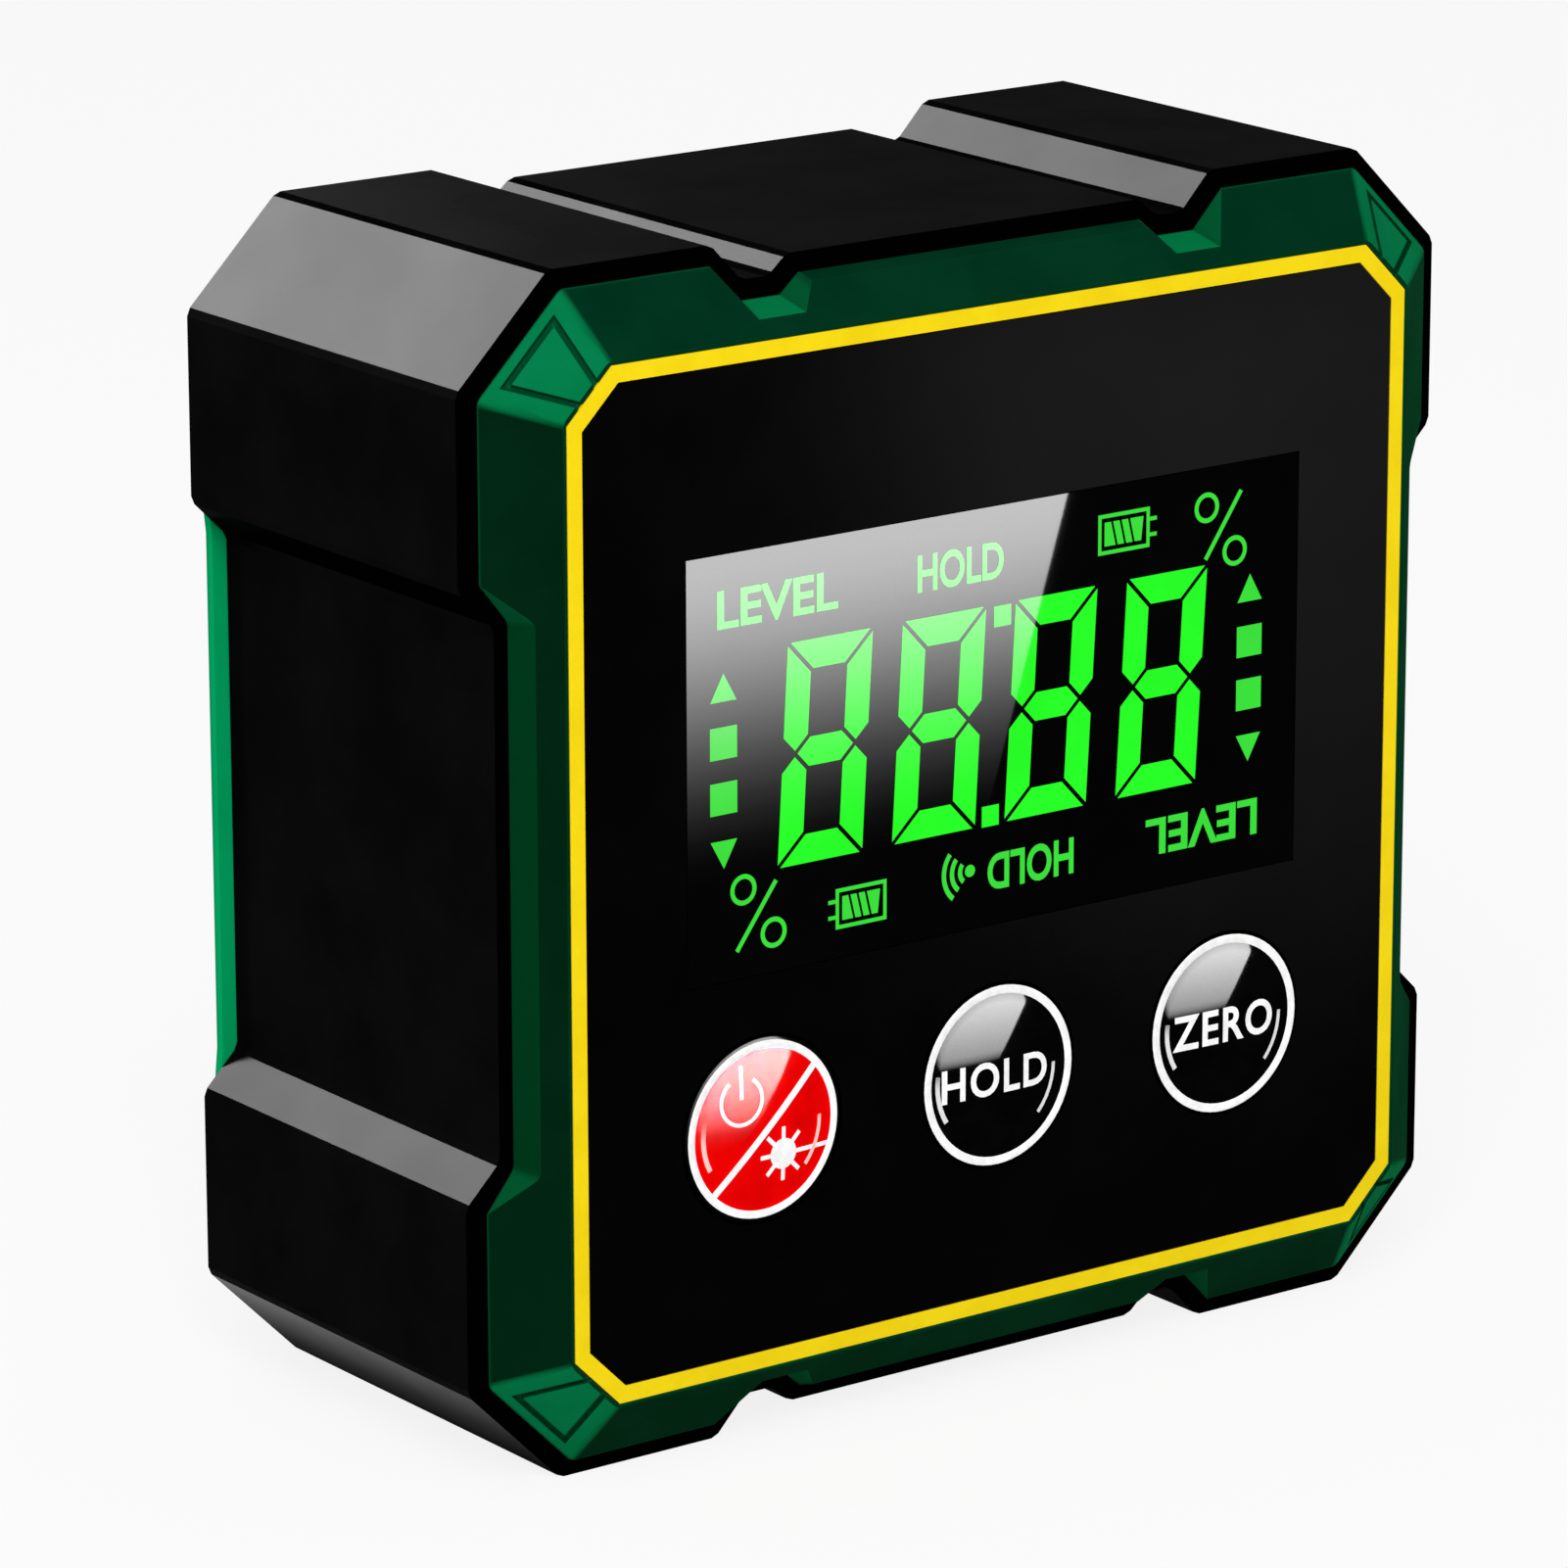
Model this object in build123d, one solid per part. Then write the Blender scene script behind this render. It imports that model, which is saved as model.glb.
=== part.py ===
from build123d import *
import os
from math import cos, pi, sin, sqrt

# Sizes are in millimetres. X is the width, Y runs from the display face to the battery door, and Z is up.
# The origin is in the middle of the footprint, on the surface that the object stands on.

# Black band, seen from the front
width = 60.0
height = 60.0
corner_cut = 5.3  # chamfer across each corner
pad_start = 15.3  # inner end of a corner pad, above and below, from the middle
notch_outer = 13.5  # the notch beside each pad has a flat floor between these two
notch_inner = 11.9
notch_depth = 1.9
span_half = 10.8  # raised stretch between the two notches
span_step = 0.95
side_pad_start = 15.2  # inner end of a corner pad at the sides, from mid height
side_span_half = 13.2
side_step = 2.0
edge_bevel = 0.25

# Black band, front to back; its depth follows from what stands inside
lip_rise = 0.45  # thin bevelled lip beyond the side faces
lip_inset = 0.9
side_lip_inset = 0.5  # the same lip along the side recesses
wall = 2.1
cavity_cut = 1.5

# Green shells
slope_rise = 2.45  # from the lip to the flat face
face_inset = 4.1  # flat face inside the overall outline
face_cut = 2.6
notch_draft = 0.73  # how far the notch walls lean in over the slope
rear_side_step = 0.3  # the rear shell is hardly recessed at the sides
slope_round = 1.1
recess_round = 0.9
rim = 0.15  # rim left round the face pocket
plate_thickness = 1.2
tongue_length = 3.0
tongue_wall = 1.35
fit_gap = 0.15  # tongues inside the band
frame_groove_width = 0.32  # framed panel on each corner facet
frame_groove_depth = 0.2
frame_side_margin = 0.9
frame_foot_margin = 0.5

# Face
panel_thickness = 0.8
trim_width = 0.85
panel_gap = 0.05
window_width = 37.8
window_height = 21.2
window_above_middle = 5.07

# Display
cell_margin = 0.8  # how far the cell reaches beyond its window
cell_glass = 0.9
cell_ledge = 2.0
backlight_thickness = 2.4
backlight_margin = 0.3
display_gap = 0.2
display_frame_wall = 1.4
peg_size = 1.2  # square pegs through the board
peg_length = 1.9
peg_clearance = 0.15
strip_width = 1.6
strip_inset = 0.2
strip_end_margin = 2.5

# Buttons and their switches
button_spacing = 14.5
button_below_display = 0.82  # from the display's frame to the caps
button_radius = 4.65
button_clearance = 0.2
button_ring_width = 0.45
button_proud = 0.1
button_rise = 0.35
button_flat = 2.4  # the flat top in the middle of the raised part
button_wall = 0.9
button_post = 1.7
button_rib = 0.8
button_travel = 0.4
lug_reach = 0.55  # two lugs behind the plate keep the cap in and upright
lug_width = 3.0
lug_thickness = 0.7
lug_gap = 0.1
switch_size = 5.2
switch_skin = 0.3
plunger_half = 1.3
plunger_flange = 0.5
plunger_flange_thickness = 0.3
plunger_clearance = 0.15
plunger_gap = 0.05

# Board
board_thickness = 1.2
board_gap = 0.8  # inside the bezel's tongue
board_behind_plate = 3.1
chip_size = 7.0
chip_height = 1.0
chip_place = (-9.0, 11.0)
sensor_size = 3.0
sensor_height = 0.9
sensor_place = (9.0, 13.0)
beeper_size = 8.5
beeper_height = 3.2
beeper_hole = 0.9
beeper_bevel = 0.4
beeper_place = (-14.0, -12.5)
capacitor_radius = 2.0
capacitor_height = 5.0
capacitor_place = (3.0, -13.0)

# Case screws and the corner posts that clamp the board between them
post_side_inset = 2.9  # from the bezel's tongue to a post's middle
post_top_inset = 3.0
post_size = 6.4
post_bevel = 1.0
post_gap = 0.1  # between the board and the rear posts
screw_radius = 1.2
screw_clearance = 0.05
screw_head_radius = 2.2
screw_head = 1.6
screw_length = 21.0
screw_tip_gap = 0.5  # from the screw's tip to the bezel's plate
screw_hole_clearance = 0.2
head_clearance = 0.3

# Laser
laser_gap = 1.3  # from the board to the barrel
laser_above_middle = 0.0
barrel_radius = 3.2
barrel_length = 16.0
barrel_clearance = 0.1
barrel_setback = 0.6
nose_radius = 2.0
nose_depth = 2.2
lens_thickness = 1.5
lens_clearance = 0.1
laser_boss_wall = 1.0
laser_boss_length = 12.0
aperture_radius = 2.0
laser_window_radius = 3.0
laser_window_thickness = 0.8
laser_window_sunk = 0.1
window_clearance = 0.05
driver_board_thickness = 1.0
driver_board_size = (5.4, 8.0)
driver_board_gap = 0.05

# Batteries and the compartment
cell_radius = 5.15
cell_length = 43.4
cell_nub_radius = 1.9
cell_nub = 1.0
cell_edge = 0.4
cell_gap = 0.5
cell_floor_gap = 0.1
cell_side_gap = 0.35
cell_rest_place = 12.0  # two rests on the floor keep the cells apart
cell_rest_length = 3.0
cell_rest_half = 3.4
cell_rest_height = 2.8
tray_wall = 1.2
tray_gap = 0.3  # from the laser's boss to the floor of the compartment
tray_end_room = 3.6  # room for a spring
contact_thickness = 0.4
contact_width = 9.0
contact_height = 8.4
contact_tail = 2.0
contact_tail_reach = 0.5
contact_slot_clearance = 0.3
spring_wire = 0.25
spring_big = 3.1
spring_small = 1.9
spring_turns = 2.5
spring_steps = 12  # straight steps in a turn
spring_end_gap = 0.05

# Battery door
rear_plate = 1.6
door_room = 0.8  # from the cells to the door
door_thickness = 1.2
door_half_width = 23.6
door_edge = 1.1  # how far the door laps over the tray's walls
door_clearance = 0.2
door_seat_gap = 0.1
door_corner = 1.0
opening_half_width = 22.9
hook_place = 14.0
hook_width = 6.0
hook_reach = 1.3
hook_thickness = 1.1
hook_gap = 0.25
hook_side_gap = 0.3
hook_sweep = 0.5
catch_width = 9.0
catch_leg = 0.8
catch_depth = 3.0
catch_bend = 0.75
catch_tip = 0.4
catch_clearance = 0.25
catch_pocket_wall = 1.0

# Wires
lead_radius = 0.45
lead_sides = 6
lead_bend = 1.0
lead_turn = 4.4  # behind the board, where a battery lead turns towards its pad
battery_pad_inset = 4.0  # board pads of the battery leads, from the contacts' tails
battery_pad_shift = 2.5  # and nearer to mid height
laser_lead_run = 4.2
laser_lead_spacing = 2.4

# Depths that follow from the sizes above, first as distances behind the display face
board_behind_face = panel_thickness + plate_thickness + board_behind_plate
laser_behind_face = board_behind_face + board_thickness + laser_gap + barrel_radius
tray_behind_face = laser_behind_face + barrel_radius + barrel_clearance + laser_boss_wall + tray_gap
cells_behind_face = tray_behind_face + tray_wall + cell_floor_gap + cell_radius
full_depth = cells_behind_face + cell_radius + door_room + door_thickness
face_front = -full_depth / 2
face_back = full_depth / 2
lip_front = face_front + slope_rise
lip_back = face_back - slope_rise
band_front = lip_front + lip_rise
band_back = lip_back - lip_rise
plate_front = face_front + panel_thickness
plate_back = plate_front + plate_thickness
board_front = face_front + board_behind_face
board_back = board_front + board_thickness
laser_depth = face_front + laser_behind_face
tray_floor = face_front + tray_behind_face
cell_depth = face_front + cells_behind_face
screw_seat = plate_back + screw_tip_gap + screw_length

# Places that follow from the sizes above
middle = height / 2
face_half_width = width / 2 - face_inset
face_half_height = height / 2 - face_inset
cavity_half_width = width / 2 - side_step - wall
cavity_half_height = height / 2 - notch_depth - wall
tongue_half_width = cavity_half_width - fit_gap - tongue_wall
tongue_half_height = cavity_half_height - fit_gap - tongue_wall
cell_width = window_width + 2 * cell_margin
cell_height = window_height + 2 * cell_margin
display_frame_low = window_above_middle - cell_height / 2 - display_gap - display_frame_wall
button_up = display_frame_low - button_below_display - button_radius
button_places = [(-button_spacing, button_up), (0.0, button_up), (button_spacing, button_up)]
post_x = tongue_half_width - post_side_inset
post_z = tongue_half_height - post_top_inset
lug_front = plate_back + lug_gap
lug_back = lug_front + lug_thickness
post_back = lug_back + lug_gap
plunger_tip = post_back + lug_gap
switch_height = 2 * switch_skin + plunger_gap + plunger_flange_thickness + button_travel + plunger_clearance
cell_spacing = 2 * cell_radius + cell_gap
tray_half_length = tongue_half_width
tray_half_height = cell_spacing / 2 + cell_radius + cell_side_gap
tray_inside = tray_floor + tray_wall
plate_inside = face_back - rear_plate
door_half_height = tray_half_height + door_edge
door_inside = face_back - door_thickness
door_seat = door_inside - door_seat_gap


def at(depth):
    # upright plane at a depth, with X to the right, up as its second direction and its origin at mid height
    return Plane(origin=(0, depth, middle), x_dir=(1, 0, 0), z_dir=(0, -1, 0))


def slab(sketch, front, back):
    return extrude(at(back) * sketch, amount=back - front)


def taper(sketch_a, depth_a, sketch_b, depth_b):
    return loft([at(depth_a) * sketch_a, at(depth_b) * sketch_b], ruled=True)


def rod(place, radius, front, back):
    return slab(Pos(*place) * Circle(radius), front, back)


def across(radius, start, end, depth, up):
    # round bar along X
    plane = Plane(origin=(start, depth, middle + up), x_dir=(0, 1, 0), z_dir=(1, 0, 0))
    return extrude(plane * Circle(radius), amount=end - start)


def shrink(sketch, distance):
    return offset(sketch, amount=-distance, kind=Kind.INTERSECTION)


def octagon(half_width, half_height, cut):
    return chamfer(Rectangle(2 * half_width, 2 * half_height).vertices(), cut)


def ring_outline(step):
    # corner pads, a notch beside each pad above and below, and one plain recess of this depth at each side
    half_width, half_height = width / 2, height / 2
    quarter = [
        (span_half, half_height - span_step),
        (notch_inner, half_height - notch_depth),
        (notch_outer, half_height - notch_depth),
        (pad_start, half_height),
        (half_width - corner_cut, half_height),
        (half_width, half_height - corner_cut),
        (half_width, side_pad_start),
        (half_width - step, side_span_half),
    ]
    right = quarter + [(x, -z) for x, z in reversed(quarter)]
    points = right + [(-x, z) for x, z in reversed(right)]
    return make_face(Polyline(*points, close=True))


def lip_outline(step):
    return shrink(ring_outline(step), lip_inset)


def cavity_outline(gap):
    return octagon(cavity_half_width - gap, cavity_half_height - gap, cavity_cut)


def bevelled(sketch):
    return chamfer(sketch.vertices(), edge_bevel)


def band_body():
    outline = bevelled(ring_outline(side_step))
    lip = bevelled(lip_outline(side_step - lip_inset + side_lip_inset))
    body = slab(outline, band_front, band_back)
    body += taper(outline, band_front, lip, lip_front)
    body += taper(outline, band_back, lip, lip_back)
    return body


def make_band():
    body = band_body() - slab(cavity_outline(0), lip_front, lip_back)
    wall_inside = cavity_half_width
    bore = barrel_radius + barrel_clearance
    boss_outer = bore + laser_boss_wall
    body += across(boss_outer, wall_inside - laser_boss_length, wall_inside + wall / 2, laser_depth,
                   laser_above_middle)
    body -= across(bore, wall_inside - laser_boss_length, wall_inside, laser_depth, laser_above_middle)
    body -= across(aperture_radius, wall_inside, width / 2, laser_depth, laser_above_middle)
    pocket = width / 2 - side_step - laser_window_thickness - laser_window_sunk
    return body - across(laser_window_radius + window_clearance, pocket, width / 2, laser_depth,
                         laser_above_middle)


def corner_frames():
    # three-sided groove that frames the panel on each corner facet of the front slope
    outer_reach = (width / 2 + height / 2 - corner_cut) / sqrt(2) - lip_inset
    inner_reach = (face_half_width + face_half_height - face_cut) / sqrt(2)
    outer_length = 2 * sqrt(2) * (width / 2 - lip_inset) - 2 * outer_reach
    inner_length = face_cut * sqrt(2)
    run = outer_reach - inner_reach
    slope = sqrt(run ** 2 + slope_rise ** 2)
    lean = (outer_length - inner_length) / 2 / slope
    stretch = sqrt(1 + lean ** 2)

    def trapezoid(side_margin, foot):
        top = slope + 1.0
        foot_half = outer_length / 2 - lean * foot - side_margin * stretch
        top_half = outer_length / 2 - lean * top - side_margin * stretch
        return make_face(Polyline((-foot_half, foot), (foot_half, foot), (top_half, top), (-top_half, top),
                                  close=True))

    outer = trapezoid(frame_side_margin, frame_foot_margin)
    inner = trapezoid(frame_side_margin + frame_groove_width, frame_foot_margin + frame_groove_width)
    cutters = []
    for side_x in (-1, 1):
        for side_z in (-1, 1):
            out = Vector(side_x, 0, side_z) / sqrt(2)
            forward = Vector(0, -1, 0)
            up_slope = (forward * slope_rise - out * run) / slope
            normal = (out * slope_rise + forward * run) / slope
            foot = Vector(0, lip_front, middle) + out * outer_reach + normal * frame_groove_depth
            plane = Plane(origin=foot, x_dir=up_slope.cross(normal), z_dir=normal)
            cutters.append(extrude(plane * (outer - inner), amount=-2 * frame_groove_depth))
    return Part() + cutters


def sloped_shell(lip, face, step):
    # the slope from the lip up to the flat face, cut by the drafted walls of the notches and recesses
    outer = shrink(octagon(width / 2, height / 2, corner_cut), lip_inset)
    cone = taper(outer, lip, octagon(face_half_width, face_half_height, face_cut), face)
    slanted = [e for e in cone.edges() if abs(e.center().Y - (lip + face) / 2) < slope_rise / 4]
    cone = fillet(slanted, slope_round)
    notched = lip_outline(step)
    return cone & taper(soft_notches(notched), lip, soft_notches(shrink(notched, notch_draft)), face)


def soft_notches(sketch):
    # rounds the inner corners of the side recesses
    inner = [v for v in sketch.vertices() if abs(v.Y) < (side_span_half + side_pad_start) / 2]
    return fillet(inner, recess_round)


def tongue(lip, end):
    outer = cavity_outline(fit_gap)
    return slab(outer - cavity_outline(fit_gap + tongue_wall), min(lip, end), max(lip, end))


def post_places():
    return [(x * post_x, z * post_z) for x in (-1, 1) for z in (-1, 1)]


def corner_post(place, front, back):
    return slab(Pos(*place) * octagon(post_size / 2, post_size / 2, post_bevel), front, back)


def peg_places():
    x = cell_width / 2 + display_gap + display_frame_wall / 2
    z = cell_height / 2 + display_gap + display_frame_wall / 2
    return [(a * x, window_above_middle + b * z) for a in (-1, 1) for b in (-1, 1)]


def display_rectangle(margin):
    return Pos(0, window_above_middle) * Rectangle(window_width + 2 * margin, window_height + 2 * margin)


def make_front_bezel():
    body = sloped_shell(lip_front, face_front, side_step - lip_inset + side_lip_inset) - corner_frames()
    body -= slab(octagon(face_half_width - rim, face_half_height - rim, face_cut), face_front, plate_front)
    body -= slab(cavity_outline(fit_gap + tongue_wall), plate_back, lip_front)
    body += tongue(lip_front, lip_front + tongue_length)
    for place in post_places():
        body += corner_post(place, plate_back, board_front)
        body -= rod(place, screw_radius + screw_clearance, plate_back + screw_tip_gap - post_gap, board_front)
    body -= slab(display_rectangle(cell_margin + display_gap), plate_front, plate_back)
    for place in button_places:
        body -= rod(place, button_radius + button_clearance, plate_front, plate_back)
    return body


def make_trim_ring():
    outer = octagon(face_half_width - rim - panel_gap, face_half_height - rim - panel_gap, face_cut)
    return slab(outer - shrink(outer, trim_width), face_front, plate_front)


def make_face_panel():
    outer = octagon(face_half_width - rim - panel_gap, face_half_height - rim - panel_gap, face_cut)
    sheet = shrink(outer, trim_width + panel_gap) - display_rectangle(panel_gap)
    for place in button_places:
        sheet -= Pos(*place) * Circle(button_radius + button_clearance)
    return slab(sheet, face_front, plate_front)


def make_display_window():
    return slab(display_rectangle(0), face_front, plate_front)


def make_display_cell():
    # two bonded glasses, the rear one shorter below so that the contacts of the front one lie bare
    front = slab(display_rectangle(cell_margin), plate_front, plate_front + cell_glass)
    rear = Pos(0, window_above_middle + cell_ledge / 2) * Rectangle(cell_width, cell_height - cell_ledge)
    return front + slab(rear, plate_front + cell_glass, plate_front + 2 * cell_glass)


def make_backlight():
    back_of_cell = plate_front + 2 * cell_glass
    sketch = Pos(0, window_above_middle + cell_ledge / 2) * Rectangle(
        cell_width - 2 * backlight_margin, cell_height - cell_ledge - 2 * backlight_margin)
    body = slab(sketch, back_of_cell, back_of_cell + backlight_thickness)
    return chamfer(body.edges().filter_by(Axis.Y), backlight_margin)


def make_display_frame():
    inner = display_rectangle(cell_margin + display_gap)
    outer = display_rectangle(cell_margin + display_gap + display_frame_wall)
    body = slab(chamfer(outer.vertices(), display_gap) - inner, plate_back + lug_gap, board_front)
    for place in peg_places():
        body += slab(Pos(*place) * Rectangle(peg_size, peg_size), board_front, board_front + peg_length)
    return body


def make_contact_strip():
    low = window_above_middle - cell_height / 2 + strip_inset
    sketch = Pos(0, low + strip_width / 2) * Rectangle(cell_width - 2 * strip_end_margin, strip_width)
    return slab(sketch, plate_front + cell_glass, board_front)


def make_main_board():
    # its cut corners lie on the posts and pass inside the case screws
    hole = peg_size + 2 * peg_clearance
    half_width, half_height = tongue_half_width - board_gap, tongue_half_height - board_gap
    past_screw = sqrt(2) * (screw_radius + screw_hole_clearance)
    sketch = octagon(half_width, half_height, half_width + half_height - post_x - post_z + past_screw)
    for place in peg_places():
        sketch -= Pos(*place) * Rectangle(hole, hole)
    return slab(sketch, board_front, board_back)


def on_board(sketch, place, rise):
    return slab(Pos(*place) * sketch, board_back, board_back + rise)


def make_processor():
    body = on_board(Rectangle(chip_size, chip_size), chip_place, chip_height)
    top = body.faces().sort_by(Axis.Y)[-1]
    return chamfer(top.edges(), chip_height / 5)


def make_tilt_sensor():
    body = on_board(Rectangle(sensor_size, sensor_size), sensor_place, sensor_height)
    return chamfer(body.faces().sort_by(Axis.Y)[-1].edges(), sensor_height / 5)


def make_beeper():
    body = on_board(Rectangle(beeper_size, beeper_size), beeper_place, beeper_height)
    body = chamfer(body.faces().sort_by(Axis.Y)[-1].edges(), beeper_bevel)
    return body - rod(beeper_place, beeper_hole, board_back + beeper_height / 2, board_back + beeper_height)


def make_capacitor():
    return rod(capacitor_place, capacitor_radius, board_back, board_back + capacitor_height)


def turned(points, place):
    # solid of revolution about a line along Y, from (radius, depth) points
    face = make_face(Polyline(*points, close=True))
    return Pos(place[0], 0, middle + place[1]) * revolve(face, Axis.Y)


def make_button(place):
    # raised cap with a hollow back, a ribbed post for the plunger and a lug at each side
    rim_depth = face_front - button_proud
    ring_inner = button_radius - button_ring_width
    hollow = button_radius - button_wall
    roof = face_front + button_wall
    cap = turned([
        (0, rim_depth - button_rise),
        (button_flat, rim_depth - button_rise),
        (ring_inner, rim_depth),
        (button_radius, rim_depth),
        (button_radius, lug_back),
        (hollow, lug_back),
        (hollow, roof),
        (0, roof),
    ], place)
    lugs = Rectangle(2 * (button_radius + lug_reach), lug_width) - Circle(hollow)
    ribs = Rectangle(2 * button_post, button_rib) + Rectangle(button_rib, 2 * button_post)
    return cap + slab(Pos(*place) * lugs, lug_front, lug_back) + slab(Pos(*place) * ribs, roof, post_back)


def square_slab(place, half, front, back):
    return slab(Pos(*place) * Rectangle(2 * half, 2 * half), front, back)


def make_switch_case(place):
    front = board_front - switch_height
    case = square_slab(place, switch_size / 2, front, board_front)
    case = chamfer(case.edges().filter_by(Axis.Y), switch_skin)
    chamber = plunger_half + plunger_flange + plunger_clearance
    case -= square_slab(place, chamber, front + switch_skin, board_front - switch_skin)
    return case - square_slab(place, plunger_half + plunger_clearance, front, front + switch_skin)


def make_plunger(place):
    flange = board_front - switch_height + switch_skin + plunger_gap
    stem = square_slab(place, plunger_half, plunger_tip, flange)
    return stem + square_slab(place, plunger_half + plunger_flange, flange, flange + plunger_flange_thickness)


def make_case_screws():
    # pan heads on their seats in the rear cover, shanks towards the front
    return [rod(place, screw_radius, screw_seat - screw_length, screw_seat)
            + rod(place, screw_head_radius, screw_seat, screw_seat + screw_head) for place in post_places()]


def make_laser_barrel():
    nose = cavity_half_width - barrel_setback
    body = across(barrel_radius, nose - barrel_length, nose, laser_depth, laser_above_middle)
    return body - across(nose_radius, nose - nose_depth, nose, laser_depth, laser_above_middle)


def make_laser_lens():
    # on the floor of the barrel's nose
    back = cavity_half_width - barrel_setback - nose_depth
    return across(nose_radius - lens_clearance, back, back + lens_thickness, laser_depth, laser_above_middle)


def make_laser_driver():
    back = cavity_half_width - barrel_setback - barrel_length - driver_board_gap
    size_y, size_z = driver_board_size
    return Pos(back - driver_board_thickness / 2, laser_depth, middle + laser_above_middle) * Box(
        driver_board_thickness, size_y, size_z)


def make_laser_window():
    outside = width / 2 - side_step - laser_window_sunk
    return across(laser_window_radius, outside - laser_window_thickness, outside, laser_depth,
                  laser_above_middle)


def catch_top():
    # upper face of the catch's outer leg
    return door_half_height + 2 * catch_bend


def catch_front():
    # depth that the catch's bend reaches
    return door_inside - catch_depth - catch_bend - catch_leg


def make_rear_cover():
    body = sloped_shell(lip_back, face_back, rear_side_step) - mirror(corner_frames(), about=Plane.XZ)
    body -= slab(cavity_outline(fit_gap + tongue_wall), lip_back, plate_inside)
    body += tongue(lip_back, lip_back - tongue_length)
    skirt = lip_outline(rear_side_step) & Rectangle(width, 2 * side_pad_start)
    body += slab(skirt, band_back, lip_back) - band_body()
    body += slab(Rectangle(2 * (tray_half_length + tray_wall), 2 * (tray_half_height + tray_wall)),
                 tray_floor, plate_inside)
    for place in post_places():
        body += corner_post(place, board_back + post_gap, plate_inside)
        body -= rod(place, screw_radius + screw_hole_clearance, board_back, screw_seat)
        body -= rod(place, screw_head_radius + head_clearance, screw_seat, face_back)
    body += catch_pocket_shell()
    body -= slab(Rectangle(2 * tray_half_length, 2 * tray_half_height), tray_inside, plate_inside)
    body += cell_rests()
    body -= slab(Rectangle(2 * opening_half_width, 2 * tray_half_height), plate_inside, door_seat)
    recess = Rectangle(2 * (door_half_width + door_clearance), 2 * (door_half_height + door_clearance))
    body -= slab(fillet(recess.vertices(), door_corner + door_clearance), door_seat, face_back)
    body -= hook_slots()
    body -= catch_pocket()
    body -= contact_slots()
    return body


def cell_rests():
    # short ribs on the compartment's floor whose hollow sides follow the two cells
    plane = Plane(origin=(-cell_rest_length / 2, 0, middle), x_dir=(0, 1, 0), z_dir=(1, 0, 0))
    profile = Pos(tray_inside + cell_rest_height / 2, 0) * Rectangle(cell_rest_height, 2 * cell_rest_half)
    for side in (-1, 1):
        profile -= Pos(cell_depth, side * cell_spacing / 2) * Circle(cell_radius + cell_floor_gap)
    rest = extrude(plane * profile, amount=cell_rest_length)
    return [Pos(side * cell_rest_place, 0, 0) * rest for side in (-1, 1)]


def catch_pocket():
    # room for the spring catch, open at the back so that a finger can reach it
    low = tray_half_height - catch_clearance
    high = catch_top() + catch_tip + catch_clearance
    half = catch_width / 2 + 2 * catch_clearance
    sketch = Pos(0, (low + high) / 2) * Rectangle(2 * half, high - low)
    return slab(sketch, catch_front() - catch_clearance, face_back)


def catch_pocket_shell():
    low = tray_half_height
    high = catch_top() + catch_tip + catch_clearance + catch_pocket_wall
    half = catch_width / 2 + 2 * catch_clearance + catch_pocket_wall
    sketch = Pos(0, (low + high) / 2) * Rectangle(2 * half, high - low)
    return slab(sketch, catch_front() - catch_clearance - catch_pocket_wall, plate_inside)


def hook_slots():
    # room for each hook under the cover's plate, and its way in past the plate's edge
    slots = Part()
    slot_width = hook_width + 2 * hook_side_gap
    low = -door_half_height - hook_reach - hook_gap
    high = -tray_half_height
    for side in (-1, 1):
        room = Pos(side * hook_place, (low + high) / 2) * Rectangle(slot_width, high - low)
        slots += slab(room, plate_inside - hook_gap - hook_thickness - hook_sweep, plate_inside)
        mouth = door_half_height + high
        way = Pos(side * hook_place, high - mouth / 2) * Rectangle(slot_width, mouth)
        slots += slab(way, plate_inside - hook_gap, door_seat)
    return slots


def make_battery_door():
    plate = fillet(Rectangle(2 * door_half_width, 2 * door_half_height).vertices(), door_corner)
    body = slab(plate, door_inside, face_back)
    notch_half = catch_width / 2 + catch_clearance
    body -= slab(Pos(0, door_half_height) * Rectangle(2 * notch_half, 2 * catch_leg), door_inside, face_back)
    for side in (-1, 1):
        foot_top = -tray_half_height + 2 * hook_gap
        foot_low = -door_half_height - hook_reach
        stem = Pos(side * hook_place, (foot_top - door_half_height + hook_gap) / 2) * Rectangle(
            hook_width, foot_top + door_half_height - hook_gap)
        foot = Pos(side * hook_place, (foot_top + foot_low) / 2) * Rectangle(hook_width, foot_top - foot_low)
        foot_back = plate_inside - hook_gap
        body += slab(stem, foot_back - hook_thickness, door_inside)
        body += slab(foot, foot_back - hook_thickness, foot_back)
    return body + spring_catch()


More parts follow.
